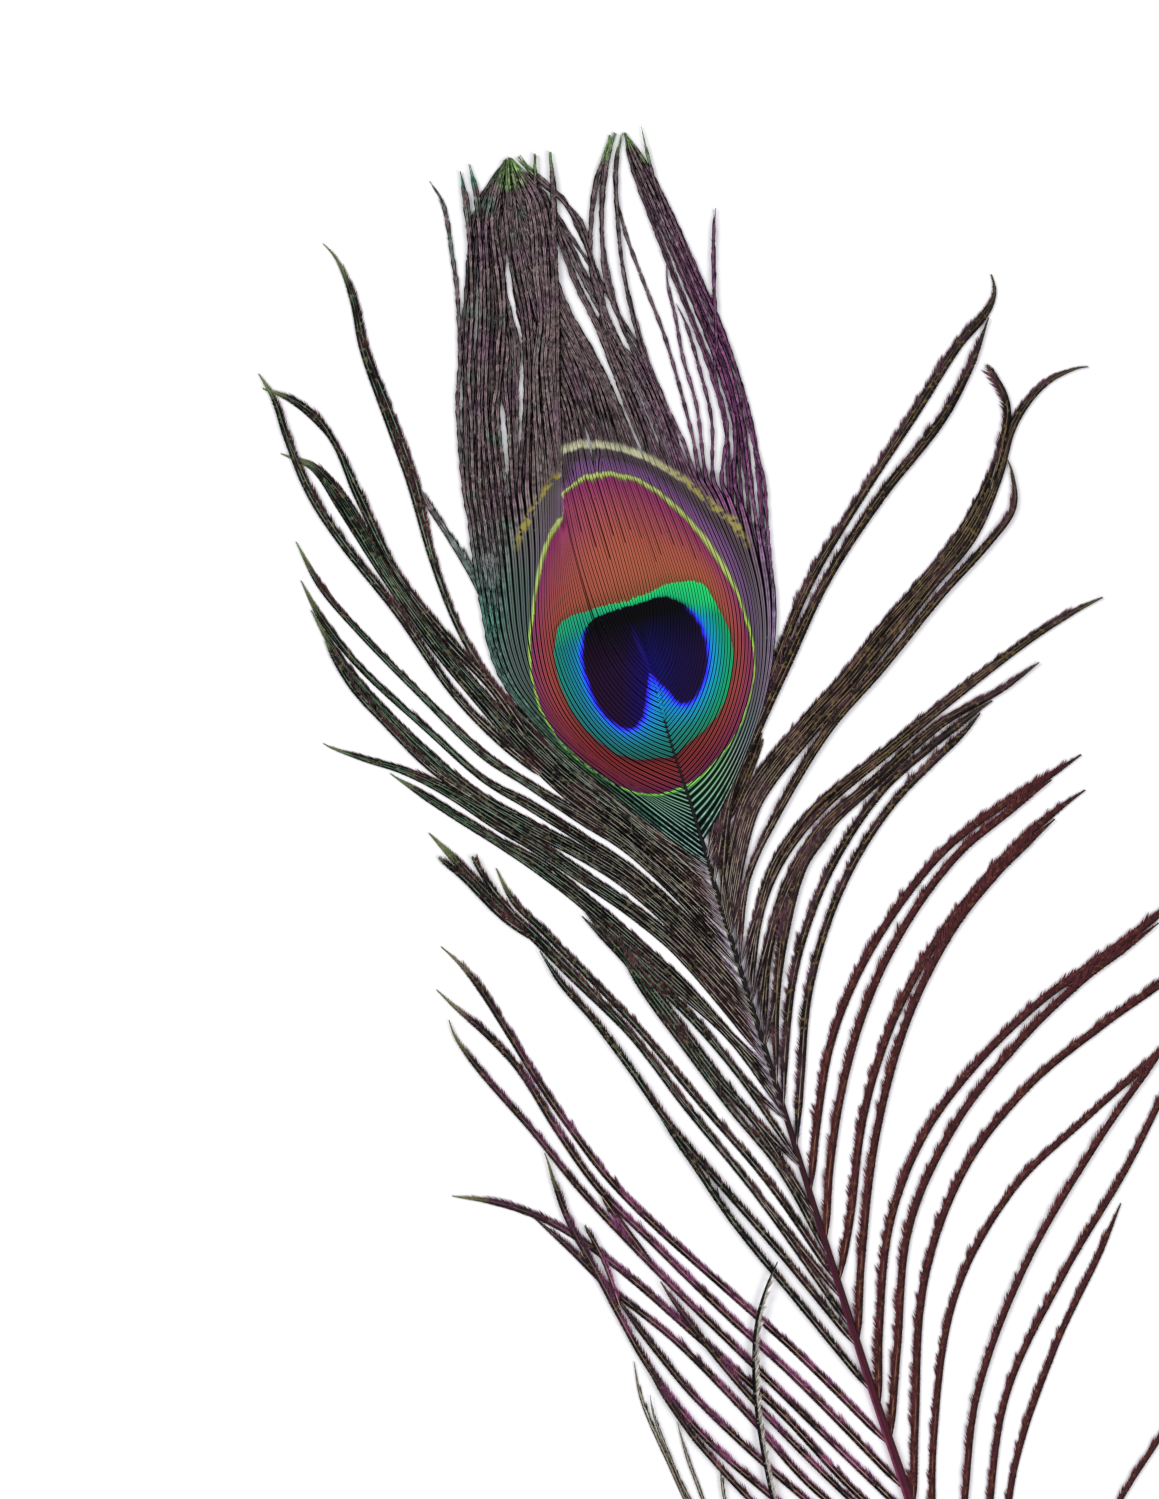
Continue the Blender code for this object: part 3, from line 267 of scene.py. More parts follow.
RIGHT = [
    [[(3.8, -13, 1.4), (6, 0.2, 1.8), (9.7, 11.3, 1.8), (15.6, 24.6, 1.9), (22.3, 40.8, 1.9),
      (32.6, 57.8, 1.9), (41.9, 72.5, 1.9), (50, 84.7, 1.8), (55.4, 91, 1.7), (56.8, 94.7, 1.2),
      (55.9, 98.7, 0.5)],
     [(5.1, -17.4, 1.4), (7.2, -0.5, 1.8), (11.6, 11.3, 1.8), (17.9, 25.3, 1.9), (25.2, 40.8, 1.9),
      (35.6, 56.3, 1.9), (46.6, 70.7, 1.9), (52.2, 80.7, 1.8), (55.9, 90.6, 1.4)]],
    [[(6.6, -22.6, 2.4), (9.2, -7.5, 4.2), (12.4, 1.4, 4.6), (22.1, 13.8, 4.6), (29.5, 21.9, 4.6),
      (36.9, 31.4, 4.6), (44.3, 40.2, 4.4), (51.6, 49.6, 4.2), (56.9, 60.4, 3.2), (60.3, 70, 2),
      (65.8, 77.3, 1.6), (71.7, 80.3, 1.3), (74.9, 80.8, 0.4)],
     [(55.6, 57, 1.8), (58.4, 67.4, 1.6), (59, 74, 1.3), (54.9, 81.8, 0.4)],
     [(8.3, -28, 1.4), (10.6, -15, 1.7), (15.8, -3, 1.9), (25.6, 13, 1.9), (35.6, 24.6, 1.9),
      (46.6, 37.9, 2), (56, 48.4, 2), (60.3, 54.6, 1.6), (59.9, 61.5, 1.2), (58.6, 64.4, 0.6)]],
    [[(10, -33.4, 1.6), (12.6, -22, 2.2), (16.4, -11.6, 3), (24, -1.4, 3), (36.3, 8.8, 2.4),
      (49.6, 19.6, 2.2), (62.1, 29.2, 2), (70.3, 34.4, 1.6), (77.6, 38.1, 0.5)],
     [(12.6, -41.8, 1.8), (14.6, -28, 2.2), (18.4, -16, 3.2), (25, -5, 3), (34, 3, 2.4),
      (46.6, 14.2, 2), (57.7, 20.4, 1.6), (65.7, 26.1, 0.5)],
     [(15, -49.6, 1.3), (15.9, -38, 1.8), (17.6, -25, 2), (21.4, -12, 2), (27, -4, 2)]],
    [[(17.4, -57.4, 1.2), (17.7, -47, 1.9), (19.2, -33, 2), (22.5, -21, 2), (27.5, -10, 2),
      (35.6, 1.7, 1.9), (44.5, 9.8, 1.8), (53.3, 16.5, 1.6), (57, 18.9, 0.5)],
     [(19.8, -65.2, 1.2), (20.6, -51, 1.8), (22, -37, 1.9), (25.4, -23.4, 1.9), (30.6, -11.4, 1.9),
      (37.8, -0.5, 1.8), (45.9, 7.8, 1.6), (51, 12.6, 1.4), (54.6, 16.8, 1)]],
    [[(22.4, -73.4, 1.2), (23.7, -60, 1.6), (26, -45.6, 1.9), (31.2, -33, 1.9), (38.7, -20, 1.9),
      (47.5, -9, 1.9), (58, -1, 2.2), (66, 3.8, 2), (73.6, 8.9, 0.5)],
     [(25.1, -82.2, 1.2), (26.2, -67, 1.7), (29.2, -50, 1.9), (34.2, -34.6, 1.9), (41.5, -21, 1.9),
      (50.2, -9.8, 1.8), (58, -3, 1.8), (64, 1.4, 1.6), (68, 4.2, 1)]],
    [[(27.6, -90, 1.2), (29.7, -78, 1.7), (32.4, -59, 1.9), (37.4, -42, 1.9), (45.5, -27, 2),
      (54.6, -15, 2), (62.4, -6.8, 2), (69.6, -1, 1.9), (74.3, 2.3, 0.5)],
     [(31.4, -101.8, 1.2), (32, -86, 1.8), (34.4, -63, 1.9), (40.2, -42, 1.9), (48.6, -24.8, 1.9),
      (57.6, -13.4, 1.9), (64.2, -6.8, 1.8), (68.6, -3, 1.3)]],
    [[(35.3, -114, 1.2), (35.5, -99, 1.7), (37.4, -79, 1.9), (43.6, -62.7, 1.9), (53.4, -49.3, 1.9),
      (64.7, -37.6, 1.9), (75, -30.2, 2), (84, -23.9, 1.9), (91, -18, 1.5), (94.6, -14, 0.5)],
     [(37.3, -119.8, 1.2), (38.6, -102, 1.7), (41, -79.6, 1.9), (49, -60.8, 1.9), (61, -45.3, 1.9),
      (73, -33.6, 1.9), (82, -27, 1.8), (88, -22.4, 1.2)]],
    [[(41.7, -133, 1.2), (41.7, -116.3, 1.8), (43.6, -90, 1.9), (50.8, -69.2, 1.9), (63, -53.4, 1.9),
      (77, -41.8, 1.9), (88, -33.8, 1.7), (96, -27, 0.5)]],
    [[(45.2, -144.6, 1.2), (45.4, -119.5, 1.8), (49.4, -92.8, 1.9), (60, -72.8, 1.9),
      (74.4, -58.5, 1.9), (87.4, -47.2, 2), (94, -40, 1.6), (97.4, -34.6, 0.5)],
     [(48.4, -155, 1.2), (51, -131, 1.8), (53.7, -110.4, 1.9), (62.6, -86.6, 1.9), (75.6, -64, 1.9),
      (86.4, -48.6, 1.8), (91.6, -42.2, 1.2)]],
    [[(51.1, -164.4, 1.2), (55, -138, 1.8), (58.8, -111.1, 1.9), (69.5, -88.4, 1.9), (80.8, -69, 1.9),
      (87.4, -56.6, 1.8), (93.4, -43.6, 0.5)]],
    [[(53.9, -174, 1.2), (57.8, -150, 1.7), (60.4, -125, 1.8), (68, -101.8, 1.8), (76, -85, 1.6),
      (80.6, -74.4, 0.5)]],
    [[(56, -181.6, 1.2), (59.2, -164, 1.5), (64.3, -148, 1.5), (70, -135, 0.5)]],
    [[(58, -188.6, 1.2), (62.1, -170, 1.5), (69.4, -151, 1.6), (80.3, -130, 1.6), (89, -116.4, 1.4),
      (95, -106, 0.5)]],
    [[(61, -199.6, 1.2), (66.4, -184, 1.4), (75.5, -167, 1.3), (84, -154, 0.5)]],
]

CROSSING = [(55, -178, 1.2), (39.4, -168, 1.4), (25.5, -153, 1.4), (17.6, -137, 1.5), (14, -123, 1.5),
            (12.2, -110, 1.5), (12.3, -99.2, 1.4), (14.2, -91, 1.3), (16.6, -85.2, 0.4)]

# %% Ways
def smooth_way(points, step=0.8):
    """A smooth way through table points, with even stations. Columns after x and y are carried along."""
    points = np.array(points, float)
    slope = np.vstack([points[1:], points[-1:]]) - np.vstack([points[:1], points[:-1]])
    slope /= np.linalg.norm(slope[:, :2], axis=1, keepdims=True)
    pieces = []
    for here, there, out, into in zip(points, points[1:], slope, slope[1:]):
        reach = np.linalg.norm((there - here)[:2]) / 3.0
        share = np.linspace(0.0, 1.0, max(3, int(reach * 6 / step)))[:-1, None]
        pieces.append((1 - share) ** 3 * here + 3 * (1 - share) ** 2 * share * (here + out * reach)
                      + 3 * (1 - share) * share ** 2 * (there - into * reach) + share ** 3 * there)
    return even_stations(np.vstack(pieces + [points[-1:]]), step)


def lengths(way):
    """How far each station is up the way."""
    return np.concatenate([[0.0], np.cumsum(np.linalg.norm(np.diff(way[:, :2], axis=0), axis=1))])


def even_stations(way, step):
    """The same way with a station every step."""
    run = lengths(way)
    spots = np.linspace(0.0, run[-1], max(3, int(round(run[-1] / step)) + 1))
    return np.column_stack([np.interp(spots, run, column) for column in way.T])


def left_of(way):
    """The direction to the left of the way at each station."""
    along = np.gradient(way[:, :2], axis=0)
    along /= np.linalg.norm(along, axis=1, keepdims=True)
    return np.column_stack([-along[:, 1], along[:, 0]])


def at(way, up, aside):
    """Points so far up a way and so far to the left of it. Past its end the way runs straight on."""
    run, side = lengths(way), left_of(way)
    x, y = (np.interp(up, run, way[:, c]) for c in (0, 1))
    nx, ny = (np.interp(up, run, side[:, c]) for c in (0, 1))
    past = np.maximum(up - run[-1], 0.0)
    return x + nx * aside + ny * past, y + ny * aside - nx * past


STEM = smooth_way(SHAFT_WAY)
STEM_RUN = lengths(STEM)
print("stem:", round(STEM_RUN[-1]), "mm,", len(STEM), "stations")


# %% Barbs that start on the stem
ROOT_REACH = 2.5             # mm: a lock that starts nearer to the stem than this is rooted on it
ROOT_SHARE = 0.46            # how much of the stem up to the next lock its barbs share
EDGE = 0.7                   # mm that the outermost barbs keep from the edge of their bundle
WANDER = 0.12                # mm that a barb strays from its place in the bundle


def stem_place(x, y):
    """How far up the stem the nearest point of it is, and how far away that is."""
    away = np.hypot(STEM[:, 0] - x, STEM[:, 1] - y)
    return STEM_RUN[away.argmin()], away.min()


def stem_point(run):
    """The place on the stem that is so far up it."""
    return [np.interp(run, STEM_RUN, STEM[:, 0]), np.interp(run, STEM_RUN, STEM[:, 1])]


def root_spans(locks):
    """For each lock of one side: where it roots on the stem and how much of the stem its barbs share."""
    places = [stem_place(lock[0][0], lock[0][1]) for lock in locks]
    rooted = sorted(run for run, away in places if away < ROOT_REACH)
    spans = []
    for run, away in places:
        if away >= ROOT_REACH:
            spans.append(None)
            continue
        below = max((r for r in rooted if r < run - 0.1), default=run - 6.0)
        above = min((r for r in rooted if r > run + 0.1), default=run + 5.0)
        spans.append((run - (run - below) * ROOT_SHARE, run + (above - run) * ROOT_SHARE))
    return spans


def barbs_of(lock, count, span, side):
    """The ways of the barbs of one lock.  side is 1 for the left side of the feather and -1 for the right."""
    points = np.array(lock, float)
    out = left_of(points)
    ways = []
    for k in range(count):
        share = 0.0 if count == 1 else 2.0 * k / (count - 1) - 1.0
        room = np.maximum(points[:, 2] / 2.0 - EDGE, 0.0)
        shift = share * room + chance.normal(0.0, WANDER, len(points)) * (room > 0.15)
        way = np.column_stack([points[:, :2] + out * shift[:, None], points[:, 2]])
        if span:
            low, high = span
            rise = 0.5 - 0.5 * share * side
            run = low + (high - low) * rise if count > 1 else stem_place(points[0, 0], points[0, 1])[0]
            way[0, :2] = stem_point(run)
        ways.append(smooth_way(way))
    return ways

# %% [markdown]
# ## One barbule
# A barbule is a flat pointed blade, about two millimetres long, that leaves its barb at a sharp angle
# towards the tip. There are a great many of them here, so the blade is made by hand once, from a
# three-sided cone, and every barb gets its own copies.

# %% Start and read a small shape
def start_piece(operator, name, **settings):
    """Adds a primitive with nothing else selected, and opens it in edit mode."""
    if bpy.context.object and bpy.context.object.mode != "OBJECT":
        bpy.ops.object.mode_set(mode="OBJECT")
    bpy.ops.object.select_all(action="DESELECT")
    operator(**settings)
    piece = bpy.context.object
    piece.name = piece.data.name = name
    bpy.ops.object.mode_set(mode="EDIT")
    return piece


def pick(piece, test):
    """Selects the vertices whose place passes the test, in edit mode."""
    bpy.ops.mesh.select_mode(type="VERT")
    bpy.ops.mesh.select_all(action="DESELECT")
    bpy.ops.object.mode_set(mode="OBJECT")
    for vert in piece.data.vertices:
        vert.select = bool(test(vert.co))
    bpy.ops.object.mode_set(mode="EDIT")


def take(piece):
    """Reads a finished small shape as arrays of points and triangles, and takes it off the scene."""
    bpy.ops.object.mode_set(mode="EDIT")
    bpy.ops.mesh.select_all(action="SELECT")
    bpy.ops.mesh.normals_make_consistent(inside=False)
    bpy.ops.mesh.quads_convert_to_tris()
    bpy.ops.object.mode_set(mode="OBJECT")
    bpy.ops.object.transform_apply(location=True, rotation=True, scale=True)
    points = np.array([vert.co[:] for vert in piece.data.vertices])
    faces = np.array([face.vertices[:] for face in piece.data.polygons])
    bpy.data.objects.remove(piece)
    return points, faces


# %% Model the barbule
# The blade's length is 1 towards +X and its reach is 1 towards +Y; the base lies along X.
blade = start_piece(bpy.ops.mesh.primitive_cone_add, "barbule", vertices=3, radius1=0.25, radius2=0.0,
                    depth=1.0, rotation=(-math.pi / 2, 0.0, 0.0), location=(0.0, 0.5, 0.0))
bpy.ops.object.mode_set(mode="OBJECT")
bpy.ops.object.transform_apply(location=True, rotation=True, scale=True)
bpy.ops.object.mode_set(mode="EDIT")
pick(blade, lambda co: co.y < 0.5)
bpy.ops.transform.resize(value=(1.0, 1.0, 0.25), center_override=(0.0, 0.0, 0.0))
pick(blade, lambda co: co.y > 0.5)
bpy.ops.transform.translate(value=(1.0, 0.0, 0.0))
BLADE, BLADE_FACES = take(blade)
print("barbule:", len(BLADE), "points,", len(BLADE_FACES), "triangles")

# %% [markdown]
# ## Sections
# The stalk of a barb, its ramus, is a thin rod, and the overlapping feet of the barbules make a flat band
# beside it: one ring with four corners serves both. In the closed part of the eye a barb with its barbules
# is one narrow strip, with a groove along the ramus and a low ridge on each side. Both rings start from a
# circle.

# %% Model the sections
def section(name, shape):
    """A ring of points (aside, up), made from a circle whose corners are moved one by one."""
    ring = start_piece(bpy.ops.mesh.primitive_circle_add, name, vertices=len(shape), radius=1.0)
    for index, (aside, up) in enumerate(shape):
        pick(ring, lambda co: False)
        bpy.ops.object.mode_set(mode="OBJECT")
        vert = ring.data.vertices[index]
        vert.select = True
        move = (aside - vert.co.x, up - vert.co.y, 0.0)
        bpy.ops.object.mode_set(mode="EDIT")
        bpy.ops.transform.translate(value=move)
    bpy.ops.object.mode_set(mode="OBJECT")
    points = np.array([vert.co[:2] for vert in ring.data.vertices])
    bpy.data.objects.remove(ring)
    return points


ROD_SHAPE = [(0.0, 1.0), (-1.0, 0.0), (0.0, -1.0), (1.0, 0.0)]
STRIP_SHAPE = [(0.0, -0.06), (-0.55, 0.05), (-1.0, -0.08), (0.0, -0.22), (1.0, -0.08), (0.55, 0.05)]
ROD = section("ramus_section", ROD_SHAPE)
STRIP = section("strip_section", STRIP_SHAPE)
print("rod:", ROD.round(2).tolist(), "strip:", STRIP.round(2).tolist())

# %% [markdown]
# ## Laying the shapes along the ways
# A basket collects the points and triangles of one piece. Every point also carries a few numbers that the
# finishes read later: its share of the way up its barb, the same in millimetres, how far it is out from the
# ramus (more than nothing towards the tip of the feather), a chance number of its barb, its ring of the
# eye, and how bright it is: a tone that differs at random from strand to strand, times painted shade on
# strands that lie under others and in the slits where the cloth has parted.

# %% Basket
NUMBERS = ("share", "run", "out", "barb", "level", "shade")


def new_basket():
    return {"points": [], "faces": [], "slot": [], "smooth": [], "count": 0, **{name: [] for name in NUMBERS}}


def put(basket, points, faces, slot, smooth, **numbers):
    """Adds one array of points (x, y, z in millimetres) and triangles."""
    basket["points"].append(points)
    basket["faces"].append(faces + basket["count"])
    basket["slot"].append(np.full(len(faces), slot))
    basket["smooth"].append(np.full(len(faces), smooth))
    for name in NUMBERS:
        value = np.asarray(numbers.get(name, 1.0 if name == "shade" else 0.0), float)
        basket[name].append(np.broadcast_to(value, (len(points),)))
    basket["count"] += len(points)


def make_piece(name, basket, materials):
    """Turns a basket into one mesh object at the origin."""
    points = np.vstack(basket["points"]) * MM
    faces = np.vstack(basket["faces"])
    mesh = bpy.data.meshes.new(name)
    mesh.vertices.add(len(points))
    mesh.vertices.foreach_set("co", points.astype(np.float32).ravel())
    mesh.loops.add(faces.size)
    mesh.loops.foreach_set("vertex_index", faces.astype(np.int32).ravel())
    mesh.polygons.add(len(faces))
    mesh.polygons.foreach_set("loop_start", np.arange(0, faces.size, 3, dtype=np.int32))
    mesh.polygons.foreach_set("material_index", np.concatenate(basket["slot"]).astype(np.int32))
    mesh.polygons.foreach_set("use_smooth", np.concatenate(basket["smooth"]).astype(bool))
    mesh.update(calc_edges=True)
    for number in NUMBERS:
        layer = mesh.attributes.new(number, "FLOAT", "POINT")
        layer.data.foreach_set("value", np.concatenate(basket[number]).astype(np.float32))
    for material in materials:
        mesh.materials.append(material)
    piece = bpy.data.objects.new(name, mesh)
    bpy.context.scene.collection.objects.link(piece)
    print(f"{name}: {len(faces)} triangles")
    return piece


# %% Sweep a section, and copy the barbule
def sweep(ring, way, up, radius, high, tall=None):
    """A closed rod with the given section along a way.  radius, high and tall are given for each place up."""
    tall = radius if tall is None else tall
    count, corners = len(up), len(ring)
    x, y = at(way, np.repeat(up, corners), (radius[:, None] * -ring[:, 0]).ravel())
    z = (high[:, None] + tall[:, None] * ring[:, 1]).ravel()
    i = np.arange(count - 1)[:, None] * corners + np.arange(corners)
    j = np.arange(count - 1)[:, None] * corners + (np.arange(corners) + 1) % corners
    faces = np.vstack([np.column_stack([i.ravel(), j.ravel(), (j + corners).ravel()]),
                       np.column_stack([i.ravel(), (j + corners).ravel(), (i + corners).ravel()])])
    last = (count - 1) * corners
    inner = range(1, corners - 1)
    caps = [[0, k + 1, k] for k in inner] + [[last, last + k, last + k + 1] for k in inner]
    return np.column_stack([x, y, z]), np.vstack([faces, caps])


def lay_barbules(basket, way, up, side, reach, forward, high, lift, slot=0, **numbers):
    """Copies of the blade on one side of a way.  side is 1 for left and -1 for right."""
    count = len(up)
    spot_up = up[:, None] + BLADE[:, 0] * forward[:, None]
    x, y = at(way, spot_up.ravel(), side * (BLADE[:, 1] * reach[:, None]).ravel())
    z = np.maximum(high[:, None] + BLADE[:, 2] + BLADE[:, 1] * lift[:, None], 0.02)
    order = BLADE_FACES if side < 0 else BLADE_FACES[:, ::-1]
    faces = (np.arange(count)[:, None, None] * len(BLADE) + order).reshape(-1, 3)
    numbers["out"] = np.broadcast_to(numbers["out"] * BLADE[:, 1], (count, len(BLADE))).ravel()
    numbers["share"] = (spot_up / lengths(way)[-1]).ravel()
    put(basket, np.column_stack([x, y, z.ravel()]), faces, slot, False, run=spot_up.ravel(), **numbers)


# %% One loose barb
def taper(up, total, length):
    """1 along the barb, and down to a point over its last few millimetres."""
    return np.clip((total - up) / length, 0.12, 1.0) ** 0.8


def clumps(up, least, most, length=0.9):
    """Barbules stick together in small tufts: a factor that wanders between least and most."""
    knots = np.arange(up[0] - 1.0, up[-1] + 2.0 * length, length)
    return np.interp(up, knots, chance.uniform(least, most, len(knots)))


BARBULE_STEP = 0.36          # mm from one barbule of a loose barb to the next
SLANT = 1.9                  # mm that its barbules reach ahead
NOTCHES = 5                  # gaps in the saw of one barb
DOWN_STEP = 0.42             # mm from one downy barbule to the next
FOOT_HIGH = 0.9              # mm above the floor where a barb leaves the stem
STALK, DOWN = 1, 2           # materials of a loose barb after the first, which is for its barbules


def lay_barb(basket, way, saw_side, high=0.42, saw=1.0, smooth=0.66, rod=0.075, bare=3.0, start=0.0,
             on_stem=True, body=0.56, down=0.0, ragged=0.5, pointed=True, droop=0.0):
    """One loose barb: its ramus, a band of barbule feet, and a row of barbules on each side.

    saw_side is 1 when the barbules that stand out like a saw are on the left, and -1 when they are on the
    right. Over the first millimetres, as many as down says, pale downy barbules lie lower."""
    total = lengths(way)[-1]
    barb = chance.random()
    point = 0.075 * total + 2.0
    foot = FOOT_HIGH if on_stem else high

    def level_of(up):
        return np.interp(up, [start, start + 5.0], [foot, high])

    up = np.linspace(start, total - 0.8, max(4, int((total - start) / 1.3)))
    numbers = {"barb": barb, "level": 5.0 if pointed else 0.0}
    thick = rod * np.clip((total - up) / (0.3 * total), 0.4, 1.0)
    points, faces = sweep(ROD, way, up, thick, level_of(up) + 0.09)
    put(basket, points, faces, STALK, True, share=np.repeat(up / total, 4), run=np.repeat(up, 4), **numbers)

    band = np.clip(0.25 + (up - start) / bare, 0.25, 1.0) * taper(up, total, point)
    points, faces = sweep(ROD, way, up, body * band, level_of(up) - 0.05, 0.1 * band)
    put(basket, points, faces, 0, True, share=np.repeat(up / total, 4), run=np.repeat(up, 4),
        out=np.tile(-ROD[:, 0] * saw_side * 0.6, len(up)), **numbers)

    notches = chance.uniform(start, total, NOTCHES)
    for side, width in ((saw_side, saw), (-saw_side, smooth)):
        up = np.arange(start + bare * 0.3, total - 1.2, BARBULE_STEP)
        up = up + chance.uniform(-0.12, 0.12, len(up))
        size = width * np.clip(0.3 + (up - start) / bare, 0.3, 1.0) * taper(up, total, point)
        if side == saw_side:
            before = (up[:, None] - notches) / 0.9                  # a notch has a long tuft just below it
            notch = np.exp(-np.abs(before - 0.5) ** 2 * 4).max(axis=1) * 0.55
            tuft = np.exp(-np.abs(before + 1.2) ** 2 * 2).max(axis=1) * 0.25
            size = size * clumps(up, 1.0 - 0.56 * ragged, 1.0 + 0.44 * ragged) * (1.0 - notch + tuft)
        else:
            size = size * clumps(up, 0.9, 1.08)
        ahead = SLANT * np.clip(size / width, 0.35, 1.2) * chance.uniform(0.85, 1.15, len(up))
        lift = chance.uniform(-0.2, 0.1, len(up)) - droop
        lay_barbules(basket, way, up, side, size, ahead, level_of(up), lift, out=float(side * saw_side),
                     **numbers)
        if down:
            up = np.arange(start + 0.6, start + down, DOWN_STEP)
            size = chance.uniform(0.6, 1.0, len(up))
            size = size * np.interp(up, [start, start + 2.5, start + down], [0.5, 1.0, 0.4])
            lay_barbules(basket, way, up, side, size, chance.uniform(1.2, 2.2, len(up)),
                         np.full(len(up), 0.16), chance.uniform(-0.06, 0.06, len(up)), slot=DOWN,
                         out=float(side * saw_side), **numbers)

# %% [markdown]
# ## The stem
# The rachis is a tapered rod of horn with a flat underside, and white pith inside that shows only where it
# was trimmed. It is extruded ring by ring along its way, from the cut to its tip in the eye, and the cut
# face is inset to leave a rim of horn round the pith.

# %% Model the stem
STEM_STEP = 3.0              # mm from ring to ring
PITH_RIM = 0.22              # mm of horn round the pith in the cut


def aim_of(way):
    """The heading of a way at each station."""
    along = np.gradient(way[:, :2], axis=0)
    return np.arctan2(along[:, 1], along[:, 0])


stations = even_stations(smooth_way(SHAFT_WAY), STEM_STEP)
headings = aim_of(stations)
first = stations[0]
stem = start_piece(bpy.ops.mesh.primitive_circle_add, "rachis", vertices=16, radius=first[2] / 2 * MM,
                   fill_type="NGON", location=(first[0] * MM, first[1] * MM, 0.46 * first[2] * MM),
                   rotation=(math.pi / 2, 0.0, headings[0] + math.pi / 2))
bpy.ops.object.mode_set(mode="OBJECT")
bpy.ops.object.transform_apply(location=True, rotation=True, scale=True)
bpy.ops.object.mode_set(mode="EDIT")
foot = 0.30 * first[2] / 2 * MM
pick(stem, lambda co: co.z < foot)
bpy.ops.transform.resize(value=(1.0, 1.0, 0.0), center_override=(0.0, 0.0, 0.0))
pick(stem, lambda co: True)
for before, here, turn_before, turn in zip(stations, stations[1:], headings, headings[1:]):
    bpy.ops.mesh.extrude_region_move(TRANSFORM_OT_translate={
        "value": ((here[0] - before[0]) * MM, (here[1] - before[1]) * MM, 0.0)})
    middle = (here[0] * MM, here[1] * MM, 0.0)
    grow = here[2] / before[2]
    bpy.ops.transform.resize(value=(grow, grow, grow), center_override=middle)
    bpy.ops.transform.rotate(value=-(turn - turn_before), orient_axis="Z", center_override=middle)
pick(stem, lambda co: math.hypot(co.x - first[0] * MM, co.y - first[1] * MM) < 1.6 * MM)
bpy.ops.mesh.inset(thickness=PITH_RIM * MM)
bpy.ops.mesh.select_all(action="SELECT")
bpy.ops.mesh.normals_make_consistent(inside=False)
bpy.ops.object.mode_set(mode="OBJECT")
for face in stem.data.polygons:
    face.use_smooth = len(face.vertices) == 4
    face.material_index = int(len(face.vertices) > 4 and face.center.y < stations[3, 1] * MM)
print("faces of pith:", sum(face.material_index for face in stem.data.polygons))
print("faces of the stem:", len(stem.data.polygons))

# %% [markdown]
# ## The closed vane
# In the eye the barbules of neighbouring barbs hook into each other and make a cloth. The barbs follow a
# few guides read from the photograph, from the left fringe round the stem's tip to the right edge, and the
# ones between two guides are blended from them. Each barb is a strip as wide as its room, and grows on into
# the crest.

